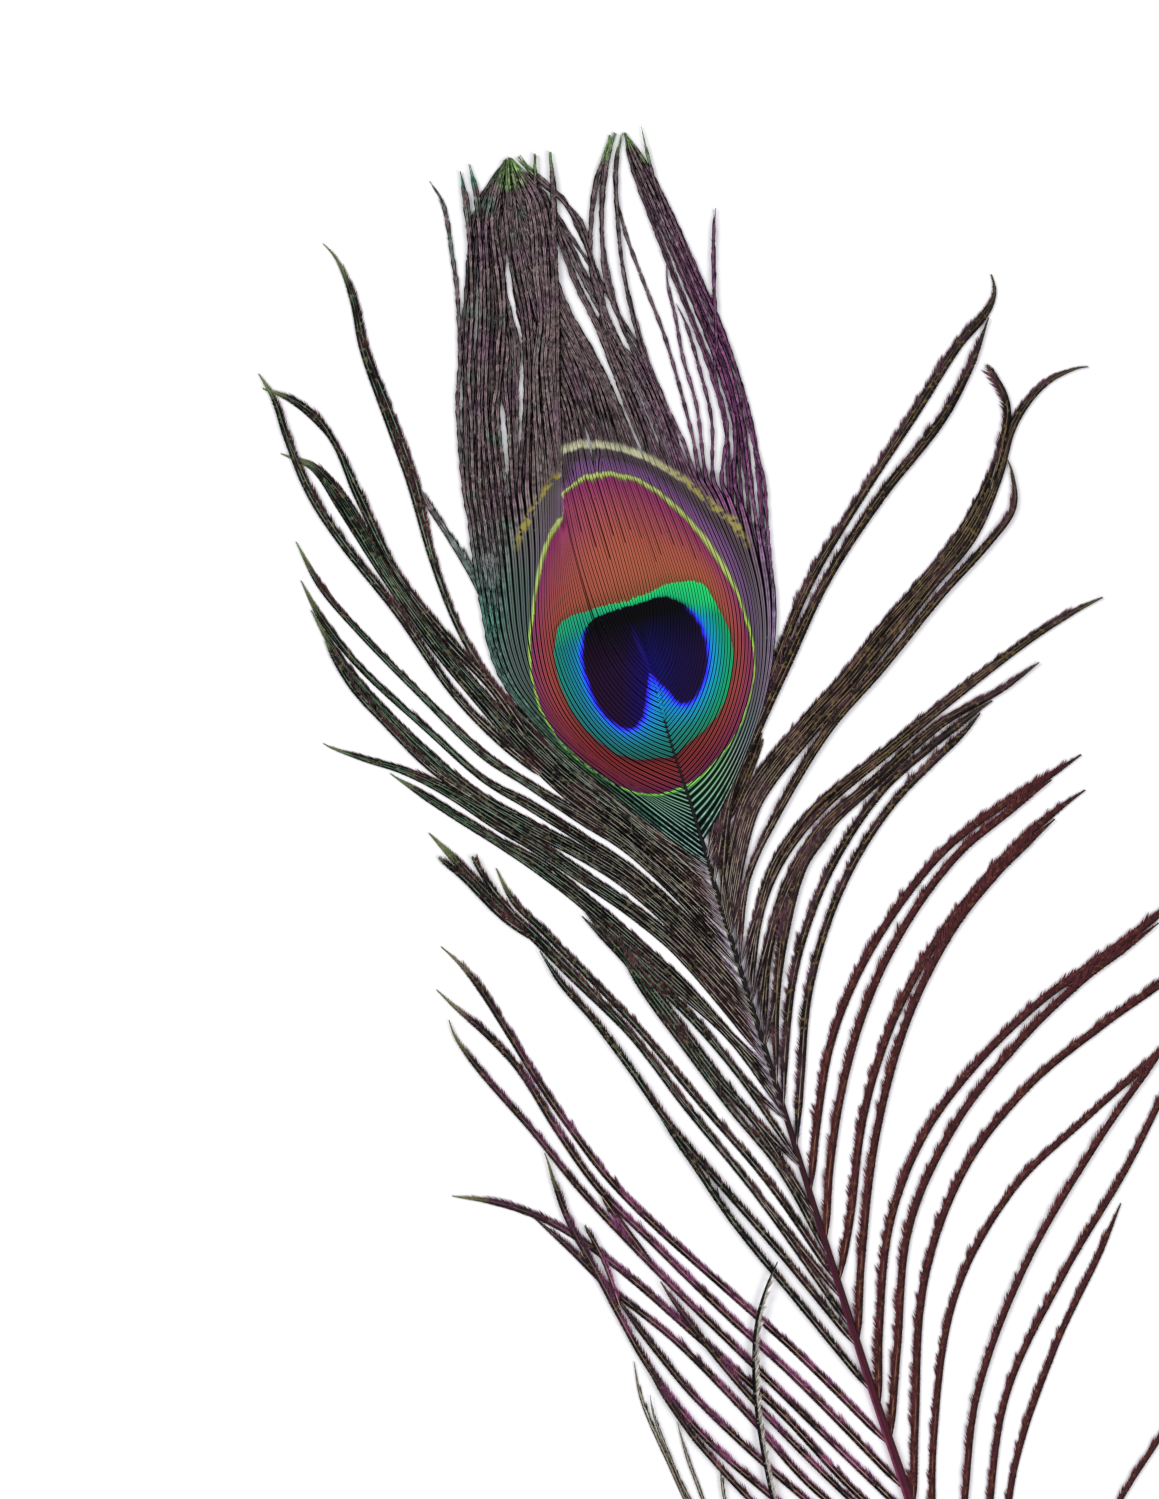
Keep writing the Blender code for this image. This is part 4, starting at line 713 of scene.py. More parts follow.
# %% Guides of the closed vane
GUIDES = [
    [(3.6, -12.2), (-5, -6), (-14, 1.2), (-23, 8.6), (-29.6, 15.2), (-34.4, 21.4), (-36.9, 27),
     (-38.2, 33), (-39.4, 40), (-40.5, 47), (-41.4, 54), (-42.6, 60), (-43.2, 66)],
    [(2.2, -7.6), (-5.5, -2), (-13, 3.6), (-20.5, 9.2), (-26.5, 15.3), (-31.3, 22), (-33.9, 29.5),
     (-35.2, 38), (-36.2, 47), (-37.4, 56), (-38.6, 66)],
    [(1, -3.4), (-5.5, 0), (-12.2, 3.9), (-18.4, 8.4), (-24, 14.4), (-27.9, 21.3), (-30, 29),
     (-30.6, 37), (-31, 45), (-32, 55), (-33.2, 66)],
    [(0.2, -0.6), (-5.8, 1.6), (-12.4, 5), (-18.2, 9.8), (-23.2, 16), (-26.4, 23), (-27.9, 31),
     (-28.2, 39), (-28, 47), (-28.4, 56), (-29.2, 66)],
    [(-1.3, 4.2), (-6.8, 6), (-12.9, 9.4), (-18.1, 14.4), (-22.2, 20.8), (-24.7, 28), (-25.8, 35.5),
     (-26, 43), (-25.9, 51), (-26, 58), (-26.4, 66)],
    [(-2.9, 9.9), (-7.8, 11.6), (-13, 15.2), (-17.4, 20.4), (-20.6, 26.6), (-22.6, 33.5), (-23.6, 40.5),
     (-24.1, 48), (-24.2, 56), (-24.2, 66)],
    [(-4.6, 16.6), (-8.6, 18.6), (-12.4, 22.2), (-15.6, 27), (-17.9, 32.5), (-19.6, 38), (-21.2, 44),
     (-22.7, 50), (-23.6, 56), (-23.9, 62), (-24, 66)],
    [(-5.4, 19.8), (-8.6, 21.6), (-11.6, 24.6), (-14.4, 28.8), (-16.7, 33.6), (-18.6, 39), (-20.4, 45),
     (-21.8, 51), (-23, 57), (-24, 62), (-24.8, 66)],
    [(-7.2, 26.6), (-9.4, 28.6), (-11.6, 32), (-13.4, 36.4), (-15, 42), (-16.8, 48), (-18.6, 54),
     (-20.4, 60), (-22, 66)],
    [(-9.2, 32.6), (-9.8, 36), (-11, 41), (-12.6, 47), (-14.4, 53), (-16.2, 59), (-18.3, 66)],
    [(-7.3, 27), (-6.4, 30.5), (-6.2, 35), (-7, 40.5), (-8.6, 46.5), (-10.6, 52.5), (-12.8, 59), (-15, 66)],
    [(-5.4, 20), (-3.2, 24), (-2, 29), (-2, 34.5), (-3.1, 40.5), (-5, 46.5), (-7.3, 53), (-9.7, 59.5),
     (-12.2, 66)],
    [(-3.6, 13.4), (-0.8, 17.4), (1.4, 22.4), (2.6, 28), (2.8, 34), (1.9, 40), (0, 46), (-2.3, 52),
     (-5, 58.6), (-8.2, 66)],
    [(-1.8, 6.2), (1.4, 10.2), (4.2, 15), (6.2, 20.6), (7.2, 26.6), (7.2, 33), (6.2, 39), (4.2, 45),
     (1.6, 51.2), (-1.4, 58.2), (-4.8, 66)],
    [(-0.3, 1.2), (3, 5), (6.4, 10), (9, 16), (10.7, 22.5), (11.3, 29), (10.9, 35.6), (9.4, 42),
     (7, 48.2), (4, 55), (0.8, 61), (-1.6, 66)],
    [(1, -3.4), (4, 0.6), (7.4, 6), (10.3, 12.4), (12.3, 19.4), (13.2, 26.4), (13.2, 33.4),
     (12.2, 40.4), (10.4, 47), (8.2, 54), (6, 60), (4.4, 66)],
    [(2.4, -8), (4.8, -3.4), (7.6, 2), (10.6, 9), (13.3, 16.6), (15, 24), (15.8, 31), (15.9, 38),
     (15.4, 45), (15, 52), (14.8, 59), (14.4, 66)],
]
# Guide, and the room a barb has there in mm.
ROOM = [(0.0, 0.74), (1.5, 0.78), (3.0, 0.90), (4.5, 0.74), (13.0, 0.74), (14.2, 0.90), (16.0, 1.1)]


def fan(guides, stations=100):
    """Ways between the guides, a barb's room apart at half their length, and their places in between."""
    ways = []
    for guide in guides:
        way = smooth_way([stem_point(stem_place(*guide[0])[0])] + guide[1:], 0.4)
        run = lengths(way)
        spots = np.linspace(0.0, run[-1], stations)
        ways.append(np.column_stack([np.interp(spots, run, column) for column in way.T]))
    ways = np.array(ways)
    middle = ways[:, stations // 2]
    steps = np.linspace(0.0, len(guides) - 1.0, 600)
    line = np.column_stack([np.interp(steps, np.arange(len(guides)), column) for column in middle.T])
    room = np.interp(0.5 * (steps[1:] + steps[:-1]), *zip(*ROOM))
    barbs = np.concatenate([[0.0], np.cumsum(np.linalg.norm(np.diff(line, axis=0), axis=1) / room)])
    places = np.interp(np.arange(0.0, barbs[-1]), barbs, steps)
    result = []
    for place in places:
        i = int(min(place, len(guides) - 2))
        t = place - i
        a, b = ways[max(i - 1, 0)], ways[i]
        c, d = ways[i + 1], ways[min(i + 2, len(guides) - 1)]
        result.append(0.5 * (2 * b + (c - a) * t + (2 * a - 5 * b + 4 * c - d) * t * t
                             + (3 * b - a - 3 * c + d) * t ** 3))
    return np.array(result), places


FAN, PLACES = fan(GUIDES)
print("barbs of the closed vane:", len(FAN))

# %% [markdown]
# ## Rings of the eye
# The colour of a barb changes where it crosses the border of a ring. The four borders are closed outlines
# read from the photograph, and a point's ring number tells how far it is between two of them, so one colour
# ramp can paint every ring, however uneven its outline is.

# %% Borders of the rings
HEART = [(-19.9, 30.5), (-19.5, 31.8), (-18.6, 33.2), (-17, 34.3), (-14.8, 35.2), (-11.6, 36.1),
         (-8, 37.2), (-6.2, 37.9), (-4.4, 37.9), (-2.6, 37.2), (-0.9, 36.3), (0.9, 34.5), (2.3, 32.3),
         (3.2, 29.6), (3.4, 26.4), (3.2, 23.7), (2.3, 21.1), (0.9, 18.8), (-0.4, 17.7), (-1.8, 17.7),
         (-3.1, 18.6), (-4.4, 20.2), (-5.8, 21.5), (-7.4, 23.3), (-7.8, 20.6), (-8, 17.9), (-8.5, 15.7),
         (-9.8, 13.4), (-11.6, 12.7), (-13.4, 13.4), (-15.7, 15.2), (-17.5, 17.5), (-18.8, 20.2),
         (-19.9, 23.7), (-20.4, 26.9)]
GREEN = [(-24.7, 31.8), (-23.8, 33.2), (-22, 34.3), (-19.7, 34.8), (-18.4, 35.2), (-15.2, 36.1),
         (-11.6, 36.9), (-8, 38.2), (-5.8, 39.4), (-3.5, 40.3), (-0.4, 40.8), (1.8, 40.5), (3.2, 39.4),
         (4.5, 37), (5.9, 34.5), (7.2, 31.8), (7.9, 28.7), (8.1, 25.5), (7.7, 22.4), (6.6, 18.8),
         (5, 15.7), (2.7, 13), (0, 11), (-2.2, 8.9), (-3.5, 8), (-6.2, 7.8), (-9.8, 7.6), (-13.4, 8.5),
         (-17, 10.7), (-19.7, 13.4), (-22, 16.6), (-23.8, 20.2), (-24.9, 23.7), (-25.3, 27.3)]
BRONZE = [(-23.5, 57), (-20.2, 59.4), (-14.8, 60.3), (-9.8, 59.2), (-6.2, 57), (-3.5, 54.5), (-0.9, 52),
          (1.8, 48.9), (4.5, 44.9), (6.8, 41.3), (9, 37.2), (10.8, 31.8), (11.7, 28.2), (11.9, 25.1),
          (11.7, 22.4), (10.8, 18.4), (9.5, 14.3), (7.2, 10.3), (4.5, 7.1), (1.8, 4.4), (0, 3.1),
          (-2.2, 2.2), (-5.8, 1.1), (-9.8, 1.3), (-13.4, 2.6), (-17, 4.9), (-20.2, 7.1), (-22.9, 9.4),
          (-24.7, 11.6), (-26.4, 14.3), (-27.8, 17), (-28.7, 20.2), (-29.4, 23.7), (-29.6, 27.3),
          (-29.6, 30.5), (-29.1, 34.1), (-28.7, 37.7), (-27.8, 42.2), (-26.9, 45.8), (-25.5, 49.3),
          (-23.8, 52)]
ARC = [(-23.5, 65.3), (-20.2, 66.4), (-14.8, 66), (-11.6, 65.1), (-8, 63.7), (-4.4, 61.5), (-1.3, 59.7),
       (1.8, 57), (4.1, 54.7), (6.3, 52.9), (8.1, 52), (11, 47), (13, 40), (14.2, 32), (14, 24),
       (12.4, 16), (9.4, 9), (5.6, 3), (2, -1), (-3, -3), (-10, -2), (-18, 2.5), (-26, 9), (-31, 17),
       (-33.4, 27), (-33, 38), (-32, 48), (-29.6, 53.4), (-28.2, 56.1), (-26.4, 58.3), (-24.2, 60.6)]


def border_distance(points, border, seam=False):
    """How far each point is from a closed border, less than nothing inside it.

    With seam, the last side isn't measured to: there the cloth is parted and the ring simply ends."""
    border = np.array(border + border[:1], float)
    run = lengths(border[:-1] if seam else border)
    spots = np.arange(0.0, run[-1], 0.5)
    line = np.column_stack([np.interp(spots, run, border[:len(run), c]) for c in (0, 1)])
    away = np.hypot(points[:, None, 0] - line[None, :, 0], points[:, None, 1] - line[None, :, 1]).min(axis=1)
    inside = np.zeros(len(points), bool)
    for a, b in zip(border, border[1:]):
        between = (a[1] > points[:, 1]) != (b[1] > points[:, 1])
        cross = a[0] + (points[:, 1] - a[1]) / (b[1] - a[1] + 1e-12) * (b[0] - a[0])
        inside ^= between & (points[:, 0] < cross)
    return np.where(inside, -away, away)


def ring_number(points):
    """0 to 1 in the heart, to 2 in the green, to 3 in the bronze, to 4 at the pale arc, and to 5 past it."""
    heart, green = border_distance(points, HEART), border_distance(points, GREEN)
    bronze, arc = border_distance(points, BRONZE, seam=True), border_distance(points, ARC, seam=True)
    number = 4.0 + np.clip(arc / 8.0, 0.0, 1.0)
    for base, inner, outer in ((3.0, bronze, arc), (2.0, green, bronze), (1.0, heart, green)):
        inner = np.maximum(inner, 0.0)
        number = np.where(outer < 0, base + inner / (inner - outer + 1e-9), number)
    return np.where(heart < 0, np.clip(1.0 + heart / 6.0, 0.0, 1.0), number)


# %% [markdown]
# ## The crest
# Past the pale arc the barbs come apart into locks of strands. Each lock takes the barbs that come up
# between two guides, and a few of them leave it again as branches. A strand swells and narrows every few
# millimetres like an ear of wheat, because its barbules stay in bunches.

# %% Which barbs grow into which lock
DENSE_CREST = {
    "A": [(-42.6, 62, 1.6), (-43.4, 74, 1.6), (-42.9, 82, 1.6), (-43.8, 95, 1.6), (-44.4, 101.2, 1.6),
          (-46.2, 110.9, 1.5), (-48.4, 115.3, 0.5)],
    "B": [(-38.7, 66, 7.6), (-38.9, 72, 7.4), (-38.7, 78, 8), (-38.5, 84, 8.6), (-38.2, 90, 8.6),
          (-38.2, 96, 8), (-38.3, 102, 6.8), (-38.4, 108, 5), (-37.2, 112.6, 3.6), (-34.6, 119, 0.9)],
    "C": [(-33, 66, 2.4), (-33.3, 72, 3.2), (-33.8, 78, 4.6), (-33.6, 84, 4.4), (-34.4, 90, 3.8),
          (-35.4, 96, 3.2), (-35.6, 104, 3.2), (-35, 112, 2.6), (-34.3, 119.4, 0.9)],
    "D": [(-30.2, 66, 2.6), (-29.9, 76, 2.8), (-30, 84, 2.8), (-30.7, 91, 3), (-31.9, 97, 3.2),
          (-33, 104, 3.2), (-33.9, 112, 2.2), (-33.8, 119.6, 0.9)],
    "E": [(-26.8, 66, 6), (-26.8, 80, 6.2), (-26.4, 90, 5), (-27, 98, 5.6), (-27.6, 106, 5.4),
          (-28.8, 112, 4.6), (-30.8, 115.6, 3.2), (-33.4, 119.4, 0.9)],
    "F1": [(-19.8, 66, 8.8), (-22.6, 73, 8.4), (-25.6, 81, 8.6), (-29, 92, 7.8), (-31.6, 104, 5),
           (-33.4, 118.6, 0.9)],
    "F2": [(-12.6, 66, 7), (-17, 77, 5.6), (-20.6, 84.5, 4.2), (-24, 91, 3.8), (-27, 99, 3.6),
           (-29.6, 107, 3), (-32.2, 114, 2.2), (-33.4, 119.4, 0.9)],
    "G": [(-5.2, 66, 9.6), (-7, 72, 9.8), (-10.4, 80, 9), (-14.8, 89, 7.4), (-19, 97, 6.6),
          (-22.4, 103.5, 4.4), (-25.6, 109.6, 2.2), (-30, 116.2, 0.9)],
    "H": CREST[12], "I": CREST[13], "J": CREST[14],
    "K": [(11.0, 50, 8), (10.0, 60, 8.6), (8.9, 70, 7), (6.4, 80, 6.8), (3.0, 89, 6.8), (-0.8, 98, 6.6),
          (-4.6, 107, 6), (-8.2, 115.5, 4.8), (-10.8, 121, 3), (-12.2, 124.3, 0.8)],
}
# Lock, first and last guide, height in mm, and the branches that its strands take, from left to right.
LOCKS = [
    ("A", 0.0, 0.12, 0.6, []),
    ("B", 0.12, 1.72, 1.0, [2, 2, 3, 3, 4, None, None, None]),
    ("C", 1.72, 2.1, 0.8, []),
    ("D", 2.1, 2.9, 0.9, []),
    ("E", 2.9, 6.6, 1.2, [None, 5, None, None, None, 5, None, 6, None, None, 6, 6]),
    ("F1", 6.6, 9.3, 0.6, []),
    ("F2", 9.3, 11.6, 0.8, []),
    ("G", 11.6, 14.15, 0.7, [None, None, 8, None, 8, 9, 9, 10, 10, 11, 11]),
    ("H", 14.15, 14.35, 0.6, []),
    ("I", 14.35, 14.55, 0.6, []),
    ("J", 14.55, 14.75, 0.6, []),
    ("K", 14.75, 16.1, 0.8, [17, None, None, 16, None]),
]
JOIN = 62.0                  # from this height in mm on a barb leaves the fan for its lock


def crest_points(lock, aside, branch, join=JOIN + 5.0):
    """The way of one strand: in its lock, and from the foot of its branch on in that."""
    points = np.array(DENSE_CREST[lock], float)
    inside = points[:, :2] - left_of(points) * (aside * np.maximum(points[:, 2:] / 2.0 - 0.4, 0.0))
    inside = inside + chance.normal(0.0, 0.14, inside.shape) * (np.arange(len(points)) > 0)[:, None]
    if branch is not None:
        arm = np.array(CREST[branch], float)
        inside = np.vstack([inside[inside[:, 1] < arm[0, 1] - 4.0],
                            arm[:, :2] + chance.normal(0.0, 0.25, (len(arm), 2))])
    return inside[inside[:, 1] > join]


def column_of(lock, aside):
    """Strands lie in columns about a millimetre apart, so the nearest column's place across the lock."""
    columns = max(1, round(max(point[2] for point in DENSE_CREST[lock]) / 0.95))
    column = min(int((aside + 1.0) / 2.0 * columns), columns - 1)
    return (column + 0.5) / columns * 2.0 - 1.0 + chance.uniform(-0.04, 0.04)


def swell(lowest, highest, phase, bunch=4.0):
    """Width of a strand up its way: bunches of barbules that spread towards the tip and end in points."""
    return lambda up: lowest + (highest - lowest) * ((up / bunch + phase) % 1.0) ** 1.4


STRANDS = []
parted = int(np.abs(PLACES - 6.1).argmin())     # beside this barb the cloth has split right down to the heart
for k, (way, place) in enumerate(zip(FAN, PLACES)):
    name, first, last, high, branches = next(lock for lock in LOCKS if lock[1] <= place < lock[2])
    aside = float(np.clip(2.0 * (place - first) / (last - first) - 1.0, -1.0, 1.0))
    if name in "AHIJ":           # a single strand wide
        aside = 0.0
    branch = branches[min(int((aside + 1) / 2 * len(branches)), len(branches) - 1)] if branches else None
    before, after = FAN[max(k - 1, 0)], FAN[min(k + 1, len(FAN) - 1)]
    room = np.abs(((after - before) * left_of(way)).sum(axis=1)) / (1.0 if 0 < k < len(FAN) - 1 else 0.5)
    low = way[way[:, 1] < JOIN][::5]
    if low[0, 1] > 15.0:
        low = np.vstack([low[0] - 0.4 * (low[1] - low[0]) / np.linalg.norm(low[1] - low[0]), low])
    whole = smooth_way(np.vstack([low, crest_points(name, column_of(name, aside), branch)]))
    slit = None                  # from and up to which height in mm a slit of painted shade runs beside the barb
    if k == parted:
        slit = (30.0, 54.0)
    elif k % 3 == 0 and 7.0 < place < 12.5:
        slit = (chance.uniform(43.0, 52.0), 60.0)
    STRANDS.append({"way": whole, "place": place, "lock": name, "high": high, "slit": slit,
                    "tone": chance.uniform(0.7, 1.2), "start": 0.12 if low[0, 1] < 15.0 else 0.0,
                    "half": np.interp(lengths(whole), lengths(way), room / 4.0)})
print("strands:", len(STRANDS), {name: sum(s["lock"] == name for s in STRANDS) for name in DENSE_CREST})


# %% Lay the strips and the strands
OPENS = 4.22                 # ring number from which a barb's barbules come free of its neighbours
OPENING = 8.0                # mm over which they do so
STRAND_STEP = 0.55           # mm from one of its free barbules to the next
SLIT_SHADE = 0.06            # brightness of the painted shade in the slits, where the cloth has parted


def lay_strand(basket, strand):
    """One barb from the stem to its tip: a strip in the closed vane, and past the pale arc free barbules."""
    way, run = strand["way"], lengths(strand["way"])
    total, barb = run[-1], chance.random()
    ring = ring_number(way[:, :2])
    free = (ring > OPENS) & (way[:, 1] > 20.0) | (strand["place"] < 0.5) & (run > 12.0)
    opened = run[free][0] if free.any() else total
    loose = np.clip((run - opened) / OPENING, 0.0, 1.0)
    slim = 0.8 if strand["lock"] in "GHIJK" else 1.0
    shape = swell(0.28 * slim, 0.54 * slim, chance.random(), chance.uniform(3.4, 4.8))
    half = (1 - loose) * np.clip(strand["half"] * 1.10, 0.16, 0.70) + loose * shape(run)
    half = half * taper(run, total, 6.0)
    crown = 0.30 * np.clip(1.0 - np.hypot(way[:, 0] + 8.5, way[:, 1] - 29.0) / 38.0, 0.0, 1.0)
    high = strand.get("base", 0.72) + crown
    if not strand["start"]:
        high = high + 0.25 * np.exp(-run / 1.5)
    far = np.clip((way[:, 1] - 52.0) / 25.0, 0.0, 1.0)
    high = high * (1 - far) + strand["high"] * far + (barb - 0.5) * (0.06 + 0.3 * far)
    high = np.maximum(high - 0.3 * np.clip((run - 0.8 * total) / (0.2 * total), 0.0, 1.0), 0.26)
    fine = np.arange(strand["start"] + 0.3, min(62.0, total - 1.0), 0.45)
    up = np.concatenate([[strand["start"]], fine, run[run > fine[-1] + 0.3]])
    tall = np.interp(up, run, high)
    # It comes out from under the stem, which shows between both sides as a thin line.
    if strand["start"]:
        tall[0] = 0.6
    points, faces = sweep(STRIP, way, up, np.interp(up, run, half), tall, np.full(len(up), 1.0))
    number = ring_number(points[:, :2]) + (barb - 0.5) * 0.05
    height = np.interp(up, run, way[:, 1])
    # A strand's shade is painted shade when it lies under others, times its own tone, which differs at random
    # past the arc.
    shade = strand.get("shade", 1.0) * np.interp(height, [58.0, 70.0], [1.0, strand.get("tone", 1.0)])
    shade = np.repeat(shade, 6)
    # Where the cloth has parted, the edge of the strip is painted dark: painted shade in the slit.
    if strand.get("slit"):
        low, top = strand["slit"]
        edge = -0.1 if low < 35.0 else 0.5
        dark = np.tile(STRIP[:, 0] > edge, len(up)) & np.repeat((height > low) & (height < top), 6)
        shade[dark] = SLIT_SHADE
    put(basket, points, faces, 0, True, share=np.repeat(up / total, 6), run=np.repeat(up, 6),
        out=np.tile(STRIP[:, 0], len(up)), barb=barb, level=number, shade=shade)
    if opened > total - 4.0:
        return
    for side in (1, -1):
        up = np.arange(opened - 2.0, total - 1.4, STRAND_STEP)
        up = up + chance.uniform(-0.15, 0.15, len(up))
        reach = (shape(up) + 0.05) * np.clip((up - opened) / OPENING, 0.25, 1.0) * taper(up, total, 6.0)
        beside_eye = np.interp(up, run, way[:, 1]) < 60.0
        reach = np.where(beside_eye, np.minimum(reach, 1.1 * np.interp(up, run, strand["half"])), reach)
        lay_barbules(basket, way, up, side, reach * chance.uniform(0.85, 1.2, len(up)),
                     chance.uniform(1.2, 2.0, len(up)) * taper(up, total, 6.0),
                     np.interp(up, run, high) + 0.02, chance.uniform(-0.1, 0.1, len(up)),
                     out=1.0, barb=barb, level=5.0,
                     shade=strand.get("shade", 1.0) * strand.get("tone", 1.0))


vane_left, vane_middle, vane_right = new_basket(), new_basket(), new_basket()
for strand in STRANDS:
    vane = vane_left if strand["place"] < 6.6 else vane_middle if strand["place"] < 12.0 else vane_right
    lay_strand(vane, strand)
print("points of the vane:", vane_left["count"], vane_middle["count"], vane_right["count"])

# %% [markdown]
# The crest is several strands deep, and the eye's own barbs are too few to fill it. The others come up from
# beneath here: they start lower down under the vane, and painted shade makes them darker, as they lie under
# the others. Their roots can't be seen, so this is a guess.

# %% Strands that lie behind
behind = new_basket()
# UNDER: where the strands of a lock come up (x, y, width in mm). MORE: lock, how many, and height in mm.
UNDER = {"B": [(-36.5, 46, 5), (-37.8, 56, 6)], "C": [(-31.8, 48, 2), (-32.6, 58, 2.2)],
         "D": [(-29, 50, 2), (-29.8, 58, 2.2)], "E": [(-26.4, 50, 3), (-26.6, 58, 4)],
         "F1": [(-18.6, 56, 5)], "F2": [(-11.6, 54, 5)], "G": [(-2, 50, 7), (-3.6, 58, 8)],
         "K": [(15, 30, 1.2), (14, 40, 2.6)]}
MORE = [("B", 10, 0.62), ("C", 5, 0.6), ("D", 4, 0.62), ("E", 7, 0.7), ("F1", 8, 0.45), ("F2", 4, 0.5),
        ("G", 3, 0.5), ("K", 8, 0.6)]
for name, count, high in MORE:
    for k in range(count):
        aside = 1.9 * (k + 0.5) / count - 0.95 + chance.uniform(-0.1, 0.1)
        low = np.array([(x + aside * wide / 2.0, y) for x, y, wide in UNDER[name]])
        way = smooth_way(np.vstack([low, crest_points(name, aside, None, 48.0 if name == "K" else 64.0)]))
        lay_strand(behind, {"way": way, "place": 9.0, "lock": name, "high": high,
                            "shade": chance.uniform(0.5, 0.85), "base": 0.45, "start": 0.0,
                            "half": np.full(len(way), 0.35)})
# The strands of the branches lie under the others too, with a little painted shade.
for branch in (2, 3, 4, 5, 6, 8, 9, 10, 11, 16, 17):
    way = smooth_way(CREST[branch])[:, :2]
    lay_strand(behind, {"way": way, "place": 9.0, "lock": "K" if branch > 7 else "B", "high": 0.8,
                        "shade": 0.9, "base": 0.6, "start": 0.0, "half": np.full(len(way), 0.3)})
beside_first = [(x + 1.3, y - 1.4, width) for x, y, width in CREST[0][:-2]]
for points, high in ((CREST[0], 0.5), (beside_first, 0.45)):
    lay_barb(behind, smooth_way(points)[:, :2], -1, high=high, start=1.0, on_stem=False)

# %% [markdown]
# ## The loose barbs
# Below and beside the eye the barbs come apart and lie in bundles. Each bundle of the plain model becomes
# its own barbs, rooted one after another on the stem. On the edge that faces the tip of the feather their
# barbules stand out like a saw, and on the other edge they lie close.

# %% Lay the loose barbs
# How many barbs each lock of each bundle has.
LEFT_COUNTS = [[2], [7, 2, 2], [4], [3], [5, 2], [5], [5, 2, 2, 2], [1, 2, 1, 1, 1, 1], [1, 1, 1, 1],
               [1, 1, 1, 1, 1, 1, 1], [1, 1, 1, 1], [1], [1]]
RIGHT_COUNTS = [[2, 2], [8, 2, 3], [4, 4, 2], [1, 1], [1, 1], [1, 1], [1, 1], [1], [1, 1], [1], [1], [1],
                [1], [1]]
FULL_BARB = 1.9              # mm: width of a bundle from which its barbs have their full size


def lay_side(locks, counts, side, name):
    """All bundles of one side.  side is 1 for the left side of the feather and -1 for the right."""
    spans = root_spans([lock for tuft in locks for lock in tuft])
    baskets, index = [], 0
    for number, (tuft, tuft_counts) in enumerate(zip(locks, counts)):
        basket = new_basket()
        for layer, (lock, count) in enumerate(zip(tuft, tuft_counts)):
            span = spans[index]
            wide = min(max(point[2] for point in lock) / FULL_BARB, 1.0)
            thick = 0.62 if count > 2 else 0.86 if count == 2 else 1.0
            bare = (10.0 if number < (7 if side == 1 else 4) else 6.0) if span else 2.0
            if side == 1:
                full = 0.7 if number == 10 else 1.1
            else:
                full = 1.36 if number < 3 else 1.26 if number < 8 else 1.1
            bulk = wide * thick * full
            for way in barbs_of(lock, count, span, side):
                high = 0.42 + 0.16 * layer + chance.uniform(-0.1, 0.1)
                lay_barb(basket, way[:, :2], -side, high=high, saw=1.04 * bulk, smooth=0.68 * bulk,
                         body=0.56 * bulk, start=0.3 if span else 1.0, bare=bare, on_stem=bool(span),
                         down=9.0 if span else 0.0, ragged=0.6 if side == -1 else 0.3,
                         rod=0.065 if count > 2 else 0.08 if side == 1 else 0.07,
                         pointed=lock[-1][2] < 0.7, droop=0.2 if count > 2 else 0.0)
            index += 1
        baskets.append((f"{name}_tuft_{number + 1:02d}", basket))
    return baskets


tufts = lay_side(LEFT, LEFT_COUNTS, 1, "left") + lay_side(RIGHT, RIGHT_COUNTS, -1, "right")


def close_corner(basket, saw_side, drops, root, root_step, points, step, end_step, **shape):
    """Short barbs between the closed vane and the first bundle, each one lower than the last by the steps."""
    for drop in drops:
        way = [(x + step[0] * drop, y + step[1] * drop, 1.0) for x, y in points]
        x, y, width = way[-1]
        way[-1] = (x + end_step[0] * drop, y + end_step[1] * drop, width)
        foot = stem_point(stem_place(root[0] + root_step[0] * drop, root[1] + root_step[1] * drop)[0]) + [1.0]
        lay_barb(basket, smooth_way([foot] + way)[:, :2], saw_side, smooth=0.45, start=0.3, down=6.0,
                 rod=0.08, pointed=False, **shape)


# The photograph shows no paper in these two corners, but not which barbs fill them: these ways are a guess.
close_corner(tufts[1][1], -1, (0.0, 0.8, 1.6, 2.4), (3.7, -12.8), (0.3, -0.9),
             [(-4.6, -6.9), (-13.6, 0.3), (-22.6, 7.6), (-29.2, 14.2), (-33.8, 20.6)],
             (-0.5, -0.8), (0.0, -2.0), high=0.4, saw=0.6, body=0.4, bare=10.0, droop=0.2)
close_corner(tufts[len(LEFT)][1], 1, (0.0, 0.8, 1.6), (2.9, -9.8), (0.4, -1.7),
             [(5.5, -4.6), (8.3, 1.0), (11.2, 8.0), (13.4, 14.5)], (0.6, -0.5), (-0.3, -1.0),
             high=0.3, saw=0.55, body=0.36, bare=12.0, droop=0.1)
crossing = new_basket()
lay_barb(crossing, smooth_way(CROSSING)[:, :2], -1, high=1.55, saw=0.95, smooth=0.5, body=0.5, on_stem=True)
print("triangles of the loose barbs:", sum(len(f) for _, b in tufts for f in b["faces"]))

# %% [markdown]
# ## Finishes
# All of it is keratin. The dark pigment in it swallows most of the light, and the fine layers in the
# barbules give the colour that is left. So the finishes are dark and hardly glossy, and they take their
# colour from the numbers at the points: the ring, the place across the barb, and the place up the barb.

